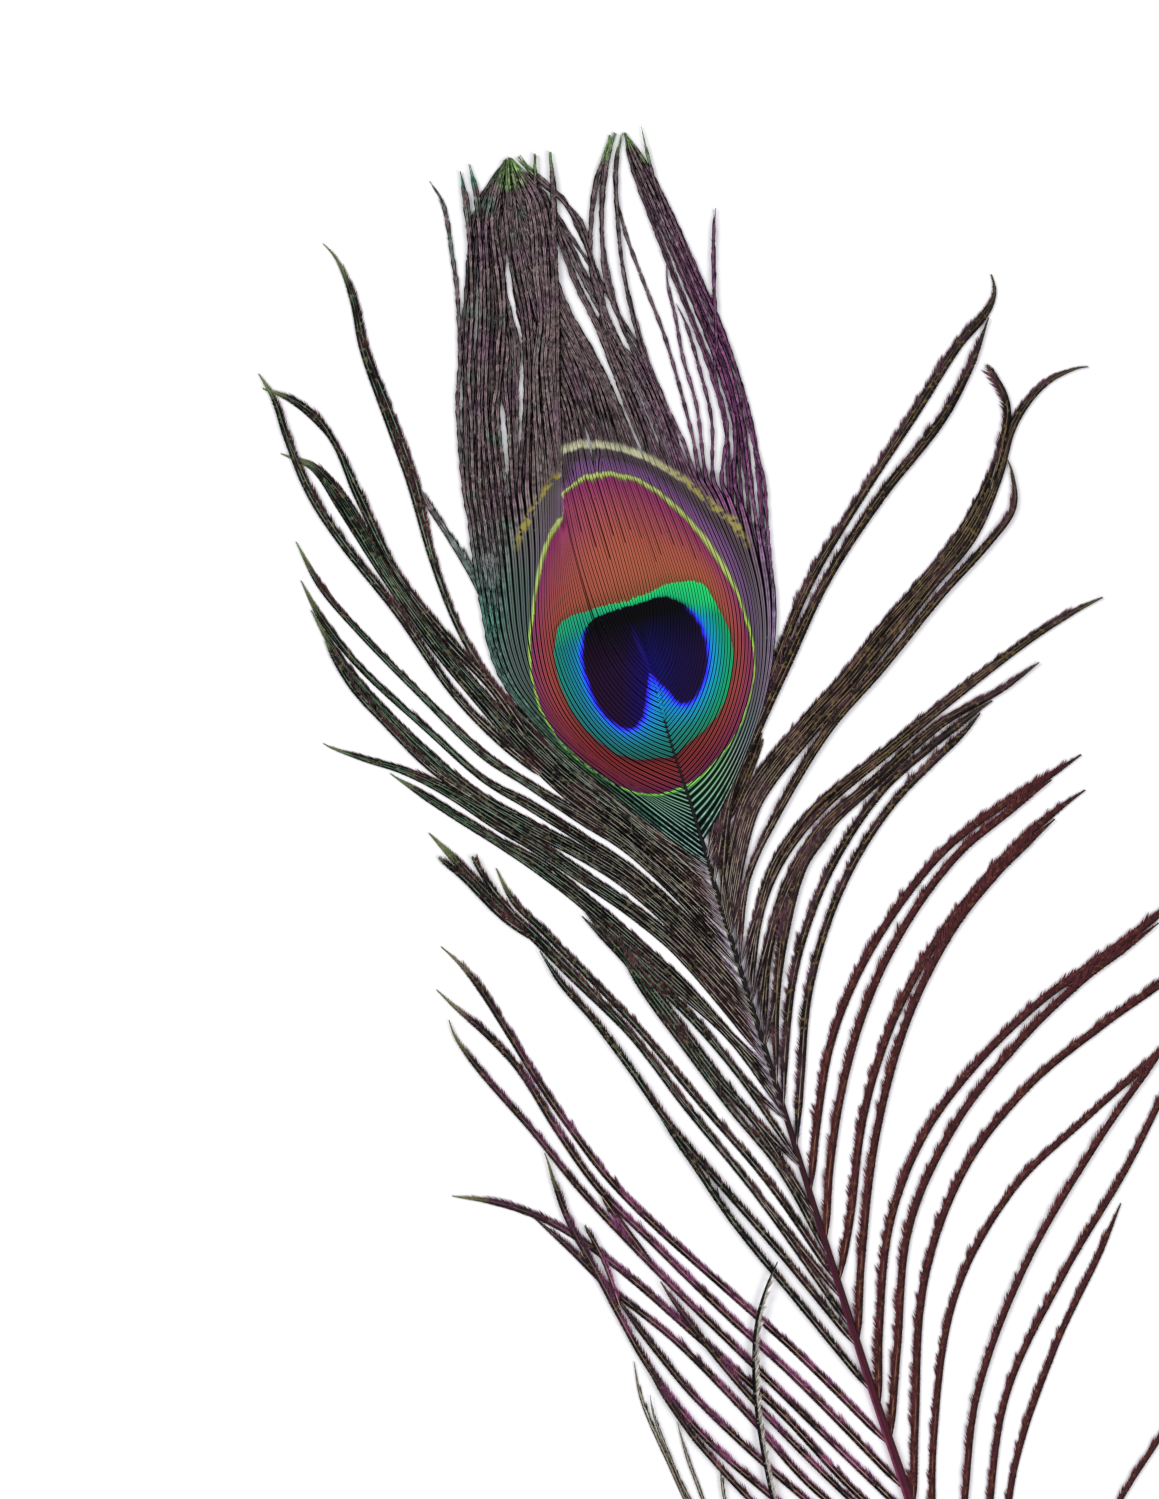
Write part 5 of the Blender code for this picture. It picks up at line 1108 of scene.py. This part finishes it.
# %% Barbules of the eye: the rings
# The ring number, divided by five, runs over three ramps, for the eye's lower end, sides and upper end.
LOW_RINGS = [(0.0, "#1c1060"), (0.180, "#180838"), (0.190, "#2c22b8"), (0.2, "#2c2ce8"),
             (0.212, "#2454d0"), (0.235, "#1a5aa0"), (0.27, "#185c7c"), (0.32, "#18545c"),
             (0.397, "#184e46"), (0.404, "#3c161c"), (0.43, "#5c1e1e"), (0.50, "#602026"),
             (0.56, "#581e2e"), (0.597, "#481c3a"), (0.603, "#3c5c28"), (0.612, "#70b840"),
             (0.622, "#3c7040"), (0.64, "#24503c"), (0.75, "#2c5450"), (1.0, "#3e5458")]
SIDE_RINGS = [(0.0, "#181060"), (0.183, "#160c3c"), (0.191, "#2a22d0"), (0.2, "#2a2cf0"),
              (0.207, "#1a4ed4"), (0.228, "#1078b0"), (0.262, "#0e8098"), (0.33, "#0e8068"),
              (0.397, "#12844c"), (0.404, "#603028"), (0.44, "#7c3632"), (0.52, "#74303c"),
              (0.57, "#6c2c4a"), (0.597, "#5c284c"), (0.603, "#4c6428"), (0.611, "#84ac40"),
              (0.622, "#7c9c44"), (0.632, "#40483c"), (0.66, "#4a3c52"), (0.72, "#504854"),
              (1.0, "#645a66")]
TOP_RINGS = [(0.0, "#0a082c"), (0.12, "#080814"), (0.2, "#04040a"), (0.206, "#0c6048"),
             (0.24, "#169c60"), (0.395, "#1cb45c"), (0.404, "#7c5030"), (0.45, "#945038"),
             (0.51, "#90483c"), (0.56, "#843c4a"), (0.597, "#742854"), (0.603, "#5c6830"),
             (0.612, "#90a050"), (0.626, "#9ca868"), (0.638, "#54464c"), (0.655, "#64406c"),
             (0.70, "#543c5c"), (0.73, "#40343c"), (0.79, "#463c42"), (1.0, "#4c4048")]
eye_finish, tree = new_material("keratin_eye_barbules")
level = add(tree, "Attribute", get="Fac", attribute_name="level")
level = add(tree, "Math", [(0, level)], operation="DIVIDE", in_1=5.0)
place = add(tree, "TexCoord", get="Object")
right, up = (add(tree, "SeparateXYZ", [(0, place)], get=axis) for axis in "XY")
low, side, top = (add(tree, "ValToRGB", [(0, level)], stops=stops)
                  for stops in (LOW_RINGS, SIDE_RINGS, TOP_RINGS))
to_side = add(tree, "MapRange", [(0, up)], in_1=0.008, in_2=0.021)
# The green turns to the upper end's colours along a tilted line, the rings outside it a little higher up.
tilted = add(tree, "Math", [(0, right), (2, up)], operation="MULTIPLY_ADD", in_1=-0.22)
inner_top = add(tree, "MapRange", [(0, tilted)], in_1=0.0335, in_2=0.0365)
outer_top = add(tree, "MapRange", [(0, up)], in_1=0.030, in_2=0.046)
is_outer = add(tree, "Math", [(0, level)], operation="GREATER_THAN", in_1=0.4)
to_top = add(tree, "Mix", [(0, is_outer), (2, inner_top), (3, outer_top)], data_type="FLOAT")
colour = add(tree, "Mix", [(0, to_side), (6, low), (7, side)], **BLEND)
colour = add(tree, "Mix", [(0, to_top), (6, colour), (7, top)], **BLEND)
# On its left side the green is a darker teal.
teal = add(tree, "MapRange", [(0, right)], in_1=-0.010, in_2=-0.020, in_4=0.5)
within = add(tree, "ValToRGB", [(0, level)], stops=[
    (0.0, "#000000"), (0.21, "#000000"), (0.25, "#ffffff"), (0.398, "#ffffff"), (0.402, "#000000")])
teal = add(tree, "Math", [(0, teal), (1, within)], operation="MULTIPLY")
colour = add(tree, "Mix", [(0, teal), (6, colour)], **BLEND, in_7="#1a4468")
# Inside its blue edge the heart is indigo in the middle, maroon in both lobes and black at the top.
across_heart = add(tree, "MapRange", [(0, right)], in_1=-0.020, in_2=0.004)
heart = add(tree, "ValToRGB", [(0, across_heart)], stops=[
    (0.0, "#1c081c"), (0.3, "#1a0828"), (0.52, "#0c0850"), (0.72, "#100838"), (1.0, "#180826")])
aslant = add(tree, "Math", [(0, up), (2, right)], operation="MULTIPLY_ADD", in_1=0.4286)
glint = add(tree, "Math", [(0, aslant)], operation="COMPARE", in_1=0.00286, in_2=0.0004)
to_black = add(tree, "MapRange", [(0, tilted)], in_1=0.027, in_2=0.036)
heart = add(tree, "Mix", [(0, to_black), (6, heart)], **BLEND, in_7="#040408")
shown = add(tree, "ValToRGB", [(0, add(tree, "MapRange", [(0, up)], in_1=0.021, in_2=0.033))],
            stops=[(0.0, "#000000"), (0.3, "#606060"), (0.6, "#808080"), (1.0, "#000000")])
glint = add(tree, "Math", [(0, glint), (1, shown)], operation="MULTIPLY")
heart = add(tree, "Mix", [(0, glint), (6, heart)], **BLEND, in_7="#2c20a0")
is_heart = add(tree, "MapRange", [(0, level)], in_1=0.190, in_2=0.172)
colour = add(tree, "Mix", [(0, is_heart), (6, colour), (7, heart)], **BLEND)
# Left of the seam, outside the yellow line, the cloth is a dark grey green low down and a brown grey above.
over_seam = add(tree, "MapRange", [(0, right)], in_1=-0.0235, in_2=-0.0245)
off_ring = add(tree, "MapRange", [(0, level)], in_1=0.628, in_2=0.645, in_4=0.8)
over_seam = add(tree, "Math", [(0, over_seam), (1, off_ring)], operation="MULTIPLY")
upper = add(tree, "MapRange", [(0, up)], in_1=0.040, in_2=0.052)
fringe = add(tree, "Mix", [(0, upper)], **BLEND, in_6="#344840", in_7="#524c4e")
colour = add(tree, "Mix", [(0, over_seam), (6, colour), (7, fringe)], **BLEND)

# %% Barbules of the eye: the crest and the fringe
# Beyond the rings the left side is a brown grey, the right side violet, and the lower left a dark green.
past = add(tree, "MapRange", [(0, level)], in_1=0.80, in_2=0.86)
rightward = add(tree, "MapRange", [(0, right)], in_1=-0.010, in_2=0.006)
far = add(tree, "Mix", [(0, rightward)], **BLEND, in_6="#605254", in_7="#683e60")
below = add(tree, "MapRange", [(0, up)], in_1=0.055, in_2=0.038)
lower = add(tree, "Mix", [(0, rightward)], **BLEND, in_6="#405c54", in_7="#74607c")
far = add(tree, "Mix", [(0, below), (6, far), (7, lower)], **BLEND)
cloud = add(tree, "TexNoise", [(0, place)], in_Scale=170.0, in_Detail=2.0)
patch = add(tree, "MapRange", [(0, cloud)], in_1=0.52, in_2=0.66, in_4=0.45)
patch = add(tree, "Mix", [(0, below), (2, patch)], data_type="FLOAT", in_3=0.05)
far = add(tree, "Mix", [(0, patch), (6, far)], **BLEND, in_7="#583c54")
green = add(tree, "MapRange", [(0, cloud)], in_1=0.44, in_2=0.32, in_4=0.4)
leftward = add(tree, "MapRange", [(0, right)], in_1=-0.026, in_2=-0.034)
green = add(tree, "Math", [(0, green), (1, leftward)], operation="MULTIPLY")
far = add(tree, "Mix", [(0, green), (6, far)], **BLEND, in_7="#2c6654")
tip = add(tree, "Math", [(0, right), (2, up)], operation="MULTIPLY_ADD", in_1=-0.2)
tip = add(tree, "Math", [(0, cloud), (2, tip)], operation="MULTIPLY_ADD", in_1=0.016)
tip = add(tree, "MapRange", [(0, tip)], in_1=0.1293, in_2=0.1330, in_4=0.85)
apex = add(tree, "MapRange", [(0, right)], in_1=-0.040, in_2=-0.034)
green = add(tree, "Mix", [(0, apex)], **BLEND, in_6="#2c7454", in_7="#78a05c")
far = add(tree, "Mix", [(0, tip), (6, far), (7, green)], **BLEND)
colour = add(tree, "Mix", [(0, past), (6, colour), (7, far)], **BLEND)

# %% Barbules of the eye: lines across each barb
# Each barb has a dark line along its ramus and dark borders: painted shade in the groove along the ramus and
# in the gaps between barbs. They fade where the cloth is densest, over the heart. Where the rest is so dark
# the colour between the lines is brighter, which the gain makes up for.
across = add(tree, "Attribute", get="Fac", attribute_name="out")
across = add(tree, "Math", [(0, across)], operation="ABSOLUTE")
wider = add(tree, "Math", [(0, past)], operation="MULTIPLY_ADD", in_1=0.14, in_2=1.0)
across = add(tree, "Math", [(0, across), (1, wider)], operation="MULTIPLY")
groove_and_gap_shade = add(tree, "ValToRGB", [(0, across)], stops=[
    (0.0, "#6c6c6c"), (0.08, "#808080"), (0.2, "#ffffff"), (0.48, "#ffffff"), (0.66, "#0c0c0c"),
    (1.0, "#030303")])
outside = add(tree, "MapRange", [(0, level)], in_1=0.60, in_2=0.66)
dense = add(tree, "MapRange", [(0, up)], in_1=0.031, in_2=0.042, in_3=1.0, in_4=0.75)
dense = add(tree, "Math", [(0, dense), (1, outside)], operation="MAXIMUM")
calm = add(tree, "MapRange", [(0, is_heart)], in_3=1.0, in_4=0.5)
dense = add(tree, "Math", [(0, dense), (1, calm)], operation="MULTIPLY")
gain = add(tree, "Math", [(0, dense)], operation="MULTIPLY_ADD", in_1=1.05, in_2=1.0)
colour = add(tree, "VectorMath", [(0, colour), (3, gain)], operation="SCALE")
striped = add(tree, "Mix", [(0, dense), (6, colour), (7, groove_and_gap_shade)], **BLEND, blend_type="MULTIPLY")

# %% Barbules of the eye: the bright lines below it and the pale arc
# In the V under the eye it is the other way round, a thin bright line on a dark barb.
height = add(tree, "MapRange", [(0, up)], in_1=-0.018, in_2=0.006)
glow = add(tree, "ValToRGB", [(0, height)], stops=[
    (0.0, "#443c50"), (0.35, "#1e545c"), (0.7, "#1c6854"), (1.0, "#3c8040")])
flank = add(tree, "MapRange", [(0, right)], in_1=0.005, in_2=0.010)
glow = add(tree, "Mix", [(0, flank), (6, glow)], **BLEND, in_7="#483c54")
fall = add(tree, "MapRange", [(0, across)], in_1=0.12, in_2=0.55, in_3=1.0, in_4=0.03)
thin = add(tree, "MapRange", [(0, across)], in_1=0.24, in_2=0.06, in_4=0.62)
bright = add(tree, "VectorMath", [(0, glow), (3, fall)], operation="SCALE")
far_left = add(tree, "MapRange", [(0, right)], in_1=-0.014, in_2=-0.006, in_3=0.3, in_4=1.0)
bright = add(tree, "VectorMath", [(0, bright), (3, far_left)], operation="SCALE")
thin = add(tree, "Math", [(0, thin), (1, far_left)], operation="MULTIPLY")
bright = add(tree, "Mix", [(0, thin), (6, bright)], **BLEND, in_7="#c4e0cc")
under = add(tree, "MapRange", [(0, up)], in_1=0.022, in_2=0.008)
beside = add(tree, "MapRange", [(0, level)], in_1=0.625, in_2=0.65)
under = add(tree, "Math", [(0, under), (1, beside)], operation="MULTIPLY")
striped = add(tree, "Mix", [(0, under), (6, striped), (7, bright)], **BLEND)

# The arc lies only over the upper end: cream at its top, and broken into dull gold pieces at both ends.
arc = add(tree, "ValToRGB", [(0, level)], stops=[
    (0.0, "#000000"), (0.772, "#000000"), (0.786, "#ffffff"), (0.812, "#ffffff"), (0.826, "#000000"),
    (1.0, "#000000")])
specks = add(tree, "TexNoise", [(0, place)], in_Scale=900.0, in_Detail=1.0)
specks = add(tree, "MapRange", [(0, specks)], in_1=0.40, in_2=0.52)
share = add(tree, "MapRange", [(0, right)], in_1=-0.009, in_2=0.001, in_4=0.9)
beyond = add(tree, "Math", [(0, right)], operation="LESS_THAN", in_1=-0.0243)
share = add(tree, "Math", [(0, share), (1, beyond)], operation="MAXIMUM")
solid = add(tree, "Mix", [(0, share), (3, specks)], data_type="FLOAT", in_2=1.0)
arc = add(tree, "Math", [(0, arc), (1, solid)], operation="MULTIPLY")
above = add(tree, "MapRange", [(0, up)], in_1=0.046, in_2=0.050, in_4=0.85)
arc = add(tree, "Math", [(0, arc), (1, above)], operation="MULTIPLY")
pale_arc = add(tree, "Mix", [(0, share)], **BLEND, in_6="#c8c8a4", in_7="#988c40")
striped = add(tree, "Mix", [(0, arc), (6, striped), (7, pale_arc)], **BLEND)

# %% Barbules of the eye: streaks
run = add(tree, "Attribute", get="Fac", attribute_name="run")
barb = add(tree, "Attribute", get="Fac", attribute_name="barb")
along = add(tree, "Math", [(0, across), (2, run)], operation="MULTIPLY_ADD", in_1=-0.9)
streak = add(tree, "CombineXYZ", [(0, along), (1, across), (2, barb)])
streak = add(tree, "VectorMath", [(0, streak)], operation="MULTIPLY", in_1=(0.4, 0.4, 40.0))
streak = add(tree, "TexNoise", [(0, streak)], in_Scale=2.2, in_Detail=2.0)
streak = add(tree, "MapRange", [(0, streak)], in_1=0.35, in_2=0.65, in_3=0.3, in_4=1.45)
even = add(tree, "Mix", [(0, past), (3, streak)], data_type="FLOAT", in_2=1.0)
# The shade number paints shade on strands that lie under others and in the slits, and gives the crest's
# strands their random tone.
shade = add(tree, "Attribute", get="Fac", attribute_name="shade")
even = add(tree, "Math", [(0, even), (1, shade)], operation="MULTIPLY")
striped = add(tree, "VectorMath", [(0, striped), (3, even)], operation="SCALE")
surface(tree, striped, roughness=0.55, gloss=0.06)

# %% [markdown]
# A loose barb is darker than the eye. One ramp paints it across: almost black on the smooth edge, brown
# along the ramus, and a haze of colour in the saw. Oblique streaks follow the barbules, patches come and go
# along the barb, and a few flecks of gold catch the light near the ramus.

# %% Barbules of the loose barbs
TIP_FROM = 0.93              # share of a barb's length from which its tip has a colour of its own


def barbule_finish(name, across_stops, patch, fleck, tip, streaks=(0.45, 1.5, 1.0), outer=("#000000", 0.0)):
    """Loose barbules.  across_stops are the colours from the smooth edge to the saw.

    patch, fleck and outer are each a colour and its share. streaks says how dark and how bright the streaks
    get, and how often they come along the barb."""
    material, tree = new_material(name)
    numbers = {key: add(tree, "Attribute", get="Fac", attribute_name=key) for key in NUMBERS}
    place = add(tree, "TexCoord", get="Object")
    across = add(tree, "MapRange", [(0, numbers["out"])], in_1=-1.0, in_2=1.0)
    colour = add(tree, "ValToRGB", [(0, across)], stops=across_stops)
    cloud = add(tree, "TexNoise", [(0, place)], in_Scale=120.0, in_Detail=3.0)
    cloud = add(tree, "MapRange", [(0, cloud)], in_1=0.47, in_2=0.60, in_4=patch[1])
    to_saw = add(tree, "MapRange", [(0, across)], in_1=0.35, in_2=0.75, in_3=0.3, in_4=1.0)
    cloud = add(tree, "Math", [(0, cloud), (1, to_saw)], operation="MULTIPLY")
    colour = add(tree, "Mix", [(0, cloud), (6, colour)], **BLEND, in_7=patch[0])
    half = add(tree, "MapRange", [(0, numbers["share"])], in_1=0.45, in_2=0.8, in_4=outer[1])
    colour = add(tree, "Mix", [(0, half), (6, colour)], **BLEND, in_7=outer[0])
    ending = add(tree, "MapRange", [(0, numbers["share"])], in_1=TIP_FROM, in_2=TIP_FROM + 0.05, in_4=0.85)
    pointed = add(tree, "Math", [(0, numbers["level"])], operation="GREATER_THAN", in_1=1.0)
    ending = add(tree, "Math", [(0, ending), (1, pointed)], operation="MULTIPLY")
    colour = add(tree, "Mix", [(0, ending), (6, colour)], **BLEND, in_7=tip)

    width = add(tree, "Math", [(0, numbers["out"])], operation="ABSOLUTE")
    along = add(tree, "Math", [(0, width), (2, numbers["run"])], operation="MULTIPLY_ADD", in_1=-1.8)
    streak = add(tree, "CombineXYZ", [(0, along), (1, numbers["out"]), (2, numbers["barb"])])
    streak = add(tree, "VectorMath", [(0, streak)], operation="MULTIPLY", in_1=(streaks[2], 0.8, 40.0))
    streak = add(tree, "TexNoise", [(0, streak)], in_Scale=2.4, in_Detail=2.0)
    streak = add(tree, "MapRange", [(0, streak)], in_1=0.36, in_2=0.64, in_3=streaks[0], in_4=streaks[1])
    streak = add(tree, "Math", [(0, streak), (1, numbers["shade"])], operation="MULTIPLY")
    colour = add(tree, "VectorMath", [(0, colour), (3, streak)], operation="SCALE")

    grain = add(tree, "TexNoise", [(0, place)], in_Scale=1300.0, in_Detail=1.0)
    middle = add(tree, "MapRange", [(0, width)], in_1=0.25, in_2=0.60, in_3=fleck[1], in_4=0.1)
    grain = add(tree, "MapRange", [(0, grain)], in_1=0.59, in_2=0.66)
    grain = add(tree, "Math", [(0, grain), (1, middle)], operation="MULTIPLY")
    colour = add(tree, "Mix", [(0, grain), (6, colour)], **BLEND, in_7=fleck[0])
    surface(tree, colour, roughness=0.55, gloss=0.12)
    return material


def ramus_finish(name, root, middle, tip, hidden):
    """The stalk of a loose barb: its colour runs from root to tip, with gaps where barbules lie over it."""
    material, tree = new_material(name)
    share = add(tree, "Attribute", get="Fac", attribute_name="share")
    run = add(tree, "Attribute", get="Fac", attribute_name="run")
    barb = add(tree, "Attribute", get="Fac", attribute_name="barb")
    colour = add(tree, "ValToRGB", [(0, share)], stops=[(0.0, root), (0.35, middle), (1.0, tip)])
    where = add(tree, "CombineXYZ", [(0, run), (1, barb)])
    where = add(tree, "VectorMath", [(0, where)], operation="MULTIPLY", in_1=(1.0, 50.0, 1.0))
    gap = add(tree, "TexNoise", [(0, where)], in_Scale=0.35, in_Detail=3.0)
    gap = add(tree, "MapRange", [(0, gap)], in_1=hidden + 0.08, in_2=hidden - 0.08, in_3=0.0, in_4=0.95)
    colour = add(tree, "Mix", [(0, gap), (6, colour)], **BLEND, in_7="#1c1214")
    surface(tree, colour, roughness=0.45, gloss=0.2)
    return material


# Upper left barbs: brown black with plum patches, olive tips, and a stalk that turns green towards the tip.
green_black = barbule_finish("keratin_green_black_barbules", [
    (0.0, "#020202"), (0.28, "#040303"), (0.40, "#100e0c"), (0.5, "#201f1a"), (0.60, "#080606"),
    (0.72, "#060404"), (0.85, "#483032"), (1.0, "#84686c")],
    patch=("#60343c", 0.4), fleck=("#7c7050", 0.6), tip="#8c9460", streaks=(0.65, 1.35, 0.4))
green_ramus = ramus_finish("keratin_green_ramus", "#b8aca0", "#849084", "#649c78", 0.48)
# Lower left barbs: a black smooth edge, a cream ramus between dark lines, and a magenta haze in the saw.
magenta_black = barbule_finish("keratin_magenta_black_barbules", [
    (0.0, "#060405"), (0.34, "#080506"), (0.46, "#1c1012"), (0.54, "#221416"), (0.64, "#0e0708"),
    (0.74, "#34201e"), (0.86, "#744464"), (1.0, "#a87ca0")],
    patch=("#9c4884", 0.6), fleck=("#a07858", 0.3), tip="#8c9064", outer=("#201a18", 0.6))
cream_ramus = ramus_finish("keratin_cream_ramus", "#d0a894", "#a88878", "#786c5c", 0.44)
# Lower right barbs: maroon all over, a little lighter in the saw, with brown flecks near the stalk.
maroon = barbule_finish("keratin_maroon_barbules", [
    (0.0, "#1c0a0b"), (0.28, "#301314"), (0.5, "#481e1e"), (0.7, "#441a1e"), (0.85, "#56292f"),
    (1.0, "#6c444a")],
    patch=("#50202e", 0.45), fleck=("#845434", 0.45), tip="#2c1a18", streaks=(0.5, 1.45, 0.8))
maroon_ramus = ramus_finish("keratin_maroon_ramus", "#a87c58", "#482220", "#3a2220", 0.5)
# Upper right barbs: brown black and plum with fine gold flecks, a gold stalk and dark brown tips.
violet = barbule_finish("keratin_violet_barbules", [
    (0.0, "#040303"), (0.26, "#0a0606"), (0.40, "#1e1512"), (0.5, "#2a1f1a"), (0.60, "#0a0606"),
    (0.72, "#120b0d"), (0.85, "#50363c"), (1.0, "#947480")],
    patch=("#603c4c", 0.5), fleck=("#80663c", 0.6), tip="#443c30", streaks=(0.65, 1.35, 0.4))
violet_ramus = ramus_finish("keratin_gold_ramus", "#aca098", "#8c7454", "#746c48", 0.49)
# The barb that lies across its neighbours is pale, with one black edge.
pale = barbule_finish("keratin_pale_barbules", [
    (0.0, "#030303"), (0.44, "#040404"), (0.52, "#080707"), (0.58, "#a8a298"), (1.0, "#d0cac0")],
    patch=("#5c3c50", 0.2), fleck=("#c8c0b0", 0.3), tip="#1c1818", streaks=(0.2, 1.35, 1.0))
# The outermost strands of the left side are thin and the colour of straw.
straw = barbule_finish("keratin_straw_barbules", [
    (0.0, "#040404"), (0.34, "#080806"), (0.42, "#dcd8c8"), (0.58, "#c8c2a8"), (0.66, "#100e0c"),
    (1.0, "#3c382c")],
    patch=("#58543c", 0.2), fleck=("#c8c0a0", 0.3), tip="#8c8a6c", streaks=(0.6, 1.2, 1.0))
# Down between the roots of the barbs, a pale lavender: real downy barbules, and their tint is also painted
# shade, the faint shadows between the roots.
down, tree = new_material("keratin_down")
place = add(tree, "TexCoord", get="Object")
cloud = add(tree, "TexNoise", [(0, place)], in_Scale=260.0, in_Detail=3.0)
tint = add(tree, "ValToRGB", [(0, cloud)], stops=[(0.35, "#c0b4cc"), (0.55, "#b4a4bc"), (0.7, "#9c7090")])
surface(tree, tint, roughness=0.7, gloss=0.1)

# %% The stem
# Burgundy horn: almost black in the eye and redder lower down. Its left flank is painted lighter, a painted
# highlight along its left side.
facing = left_of(stations)
around = np.array([vert.co[:2] for vert in stem.data.vertices]) / MM
nearest = np.hypot(*(around[:, None, c] - stations[None, :, c] for c in (0, 1))).argmin(axis=1)
offset = ((around - stations[nearest, :2]) * facing[nearest]).sum(axis=1) / (stations[nearest, 2] / 2)
layer = stem.data.attributes.new("out", "FLOAT", "POINT")
layer.data.foreach_set("value", offset.astype(np.float32))
rachis_horn, tree = new_material("keratin_rachis")
place = add(tree, "TexCoord", get="Object")
up = add(tree, "SeparateXYZ", [(0, place)], get="Y")
height = add(tree, "MapRange", [(0, up)], in_1=-0.225, in_2=0.03)
core = add(tree, "ValToRGB", [(0, height)], stops=[
    (0.0, "#4c2028"), (0.35, "#460c22"), (0.5, "#380818"), (0.62, "#280a14"), (0.70, "#0e080c"),
    (1.0, "#060608")])
flank = add(tree, "ValToRGB", [(0, height)], stops=[
    (0.0, "#704048"), (0.35, "#8c3c60"), (0.5, "#681e44"), (0.62, "#3c1226"), (0.70, "#120a10"),
    (1.0, "#060608")])
out = add(tree, "Attribute", get="Fac", attribute_name="out")
# The lighter left flank is a painted highlight.
left = add(tree, "MapRange", [(0, out)], in_1=0.35, in_2=0.75)
colour = add(tree, "Mix", [(0, left), (6, core), (7, flank)], **BLEND)
grain = add(tree, "TexNoise", [(0, place)], in_Scale=900.0, in_Detail=2.0)
grain = add(tree, "MapRange", [(0, grain)], in_1=0.3, in_2=0.7, in_3=0.75, in_4=1.25)
colour = add(tree, "Mix", [(6, colour), (7, grain)], **BLEND, blend_type="MULTIPLY", in_0=1.0)
surface(tree, colour, roughness=0.45, gloss=0.2)

pith, tree = new_material("pith_of_the_rachis")
place = add(tree, "TexCoord", get="Object")
cells = add(tree, "TexVoronoi", [(0, place)], in_Scale=9000.0)
tint = add(tree, "ValToRGB", [(0, cells)], stops=[(0.2, "#b8a890"), (0.6, "#e0d8c8")])
surface(tree, tint, roughness=0.8, gloss=0.5)

# %% Make the pieces and let them ride on the frame
stem.data.materials.append(rachis_horn)
stem.data.materials.append(pith)
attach(stem, "root")
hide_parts("shaft")
GROUPS = {"green": ([green_black, green_ramus, down], "dark_green_barbs"),
          "magenta": ([magenta_black, cream_ramus, down], "maroon_barbs"),
          "maroon": ([maroon, maroon_ramus, down], "maroon_barbs"),
          "violet": ([violet, violet_ramus, down], "violet_barbs")}
for name, basket in tufts:
    side, number = name.split("_")[0], int(name[-2:])
    if side == "left":
        group = "green" if number <= 8 else "magenta"
    else:
        group = "violet" if number <= 4 else "maroon"
    materials, slot = GROUPS[group]
    if name == "left_tuft_08":
        slot = "maroon_barbs"
    if name == "left_tuft_11":
        materials = [straw, cream_ramus, down]
    piece = make_piece(name + "_barbs", basket, materials)
    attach(piece, "root")
    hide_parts(name)
for name, basket, materials, slot in (
        ("vane_left_barbs", vane_left, [eye_finish], "eye_barbs"),
        ("vane_middle_barbs", vane_middle, [eye_finish], "eye_barbs"),
        ("vane_right_barbs", vane_right, [eye_finish], "eye_barbs"),
        ("crest_barbs", behind, [eye_finish, green_ramus], "eye_barbs"),
        ("crossing_barb_barbs", crossing, [pale, pale], "pale_barb")):
    piece = make_piece(name, basket, materials)
    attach(piece, "root")
    if name == "vane_left_barbs":
        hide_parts("eye_vane")
    if name == "crossing_barb_barbs":
        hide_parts("crossing_barb")
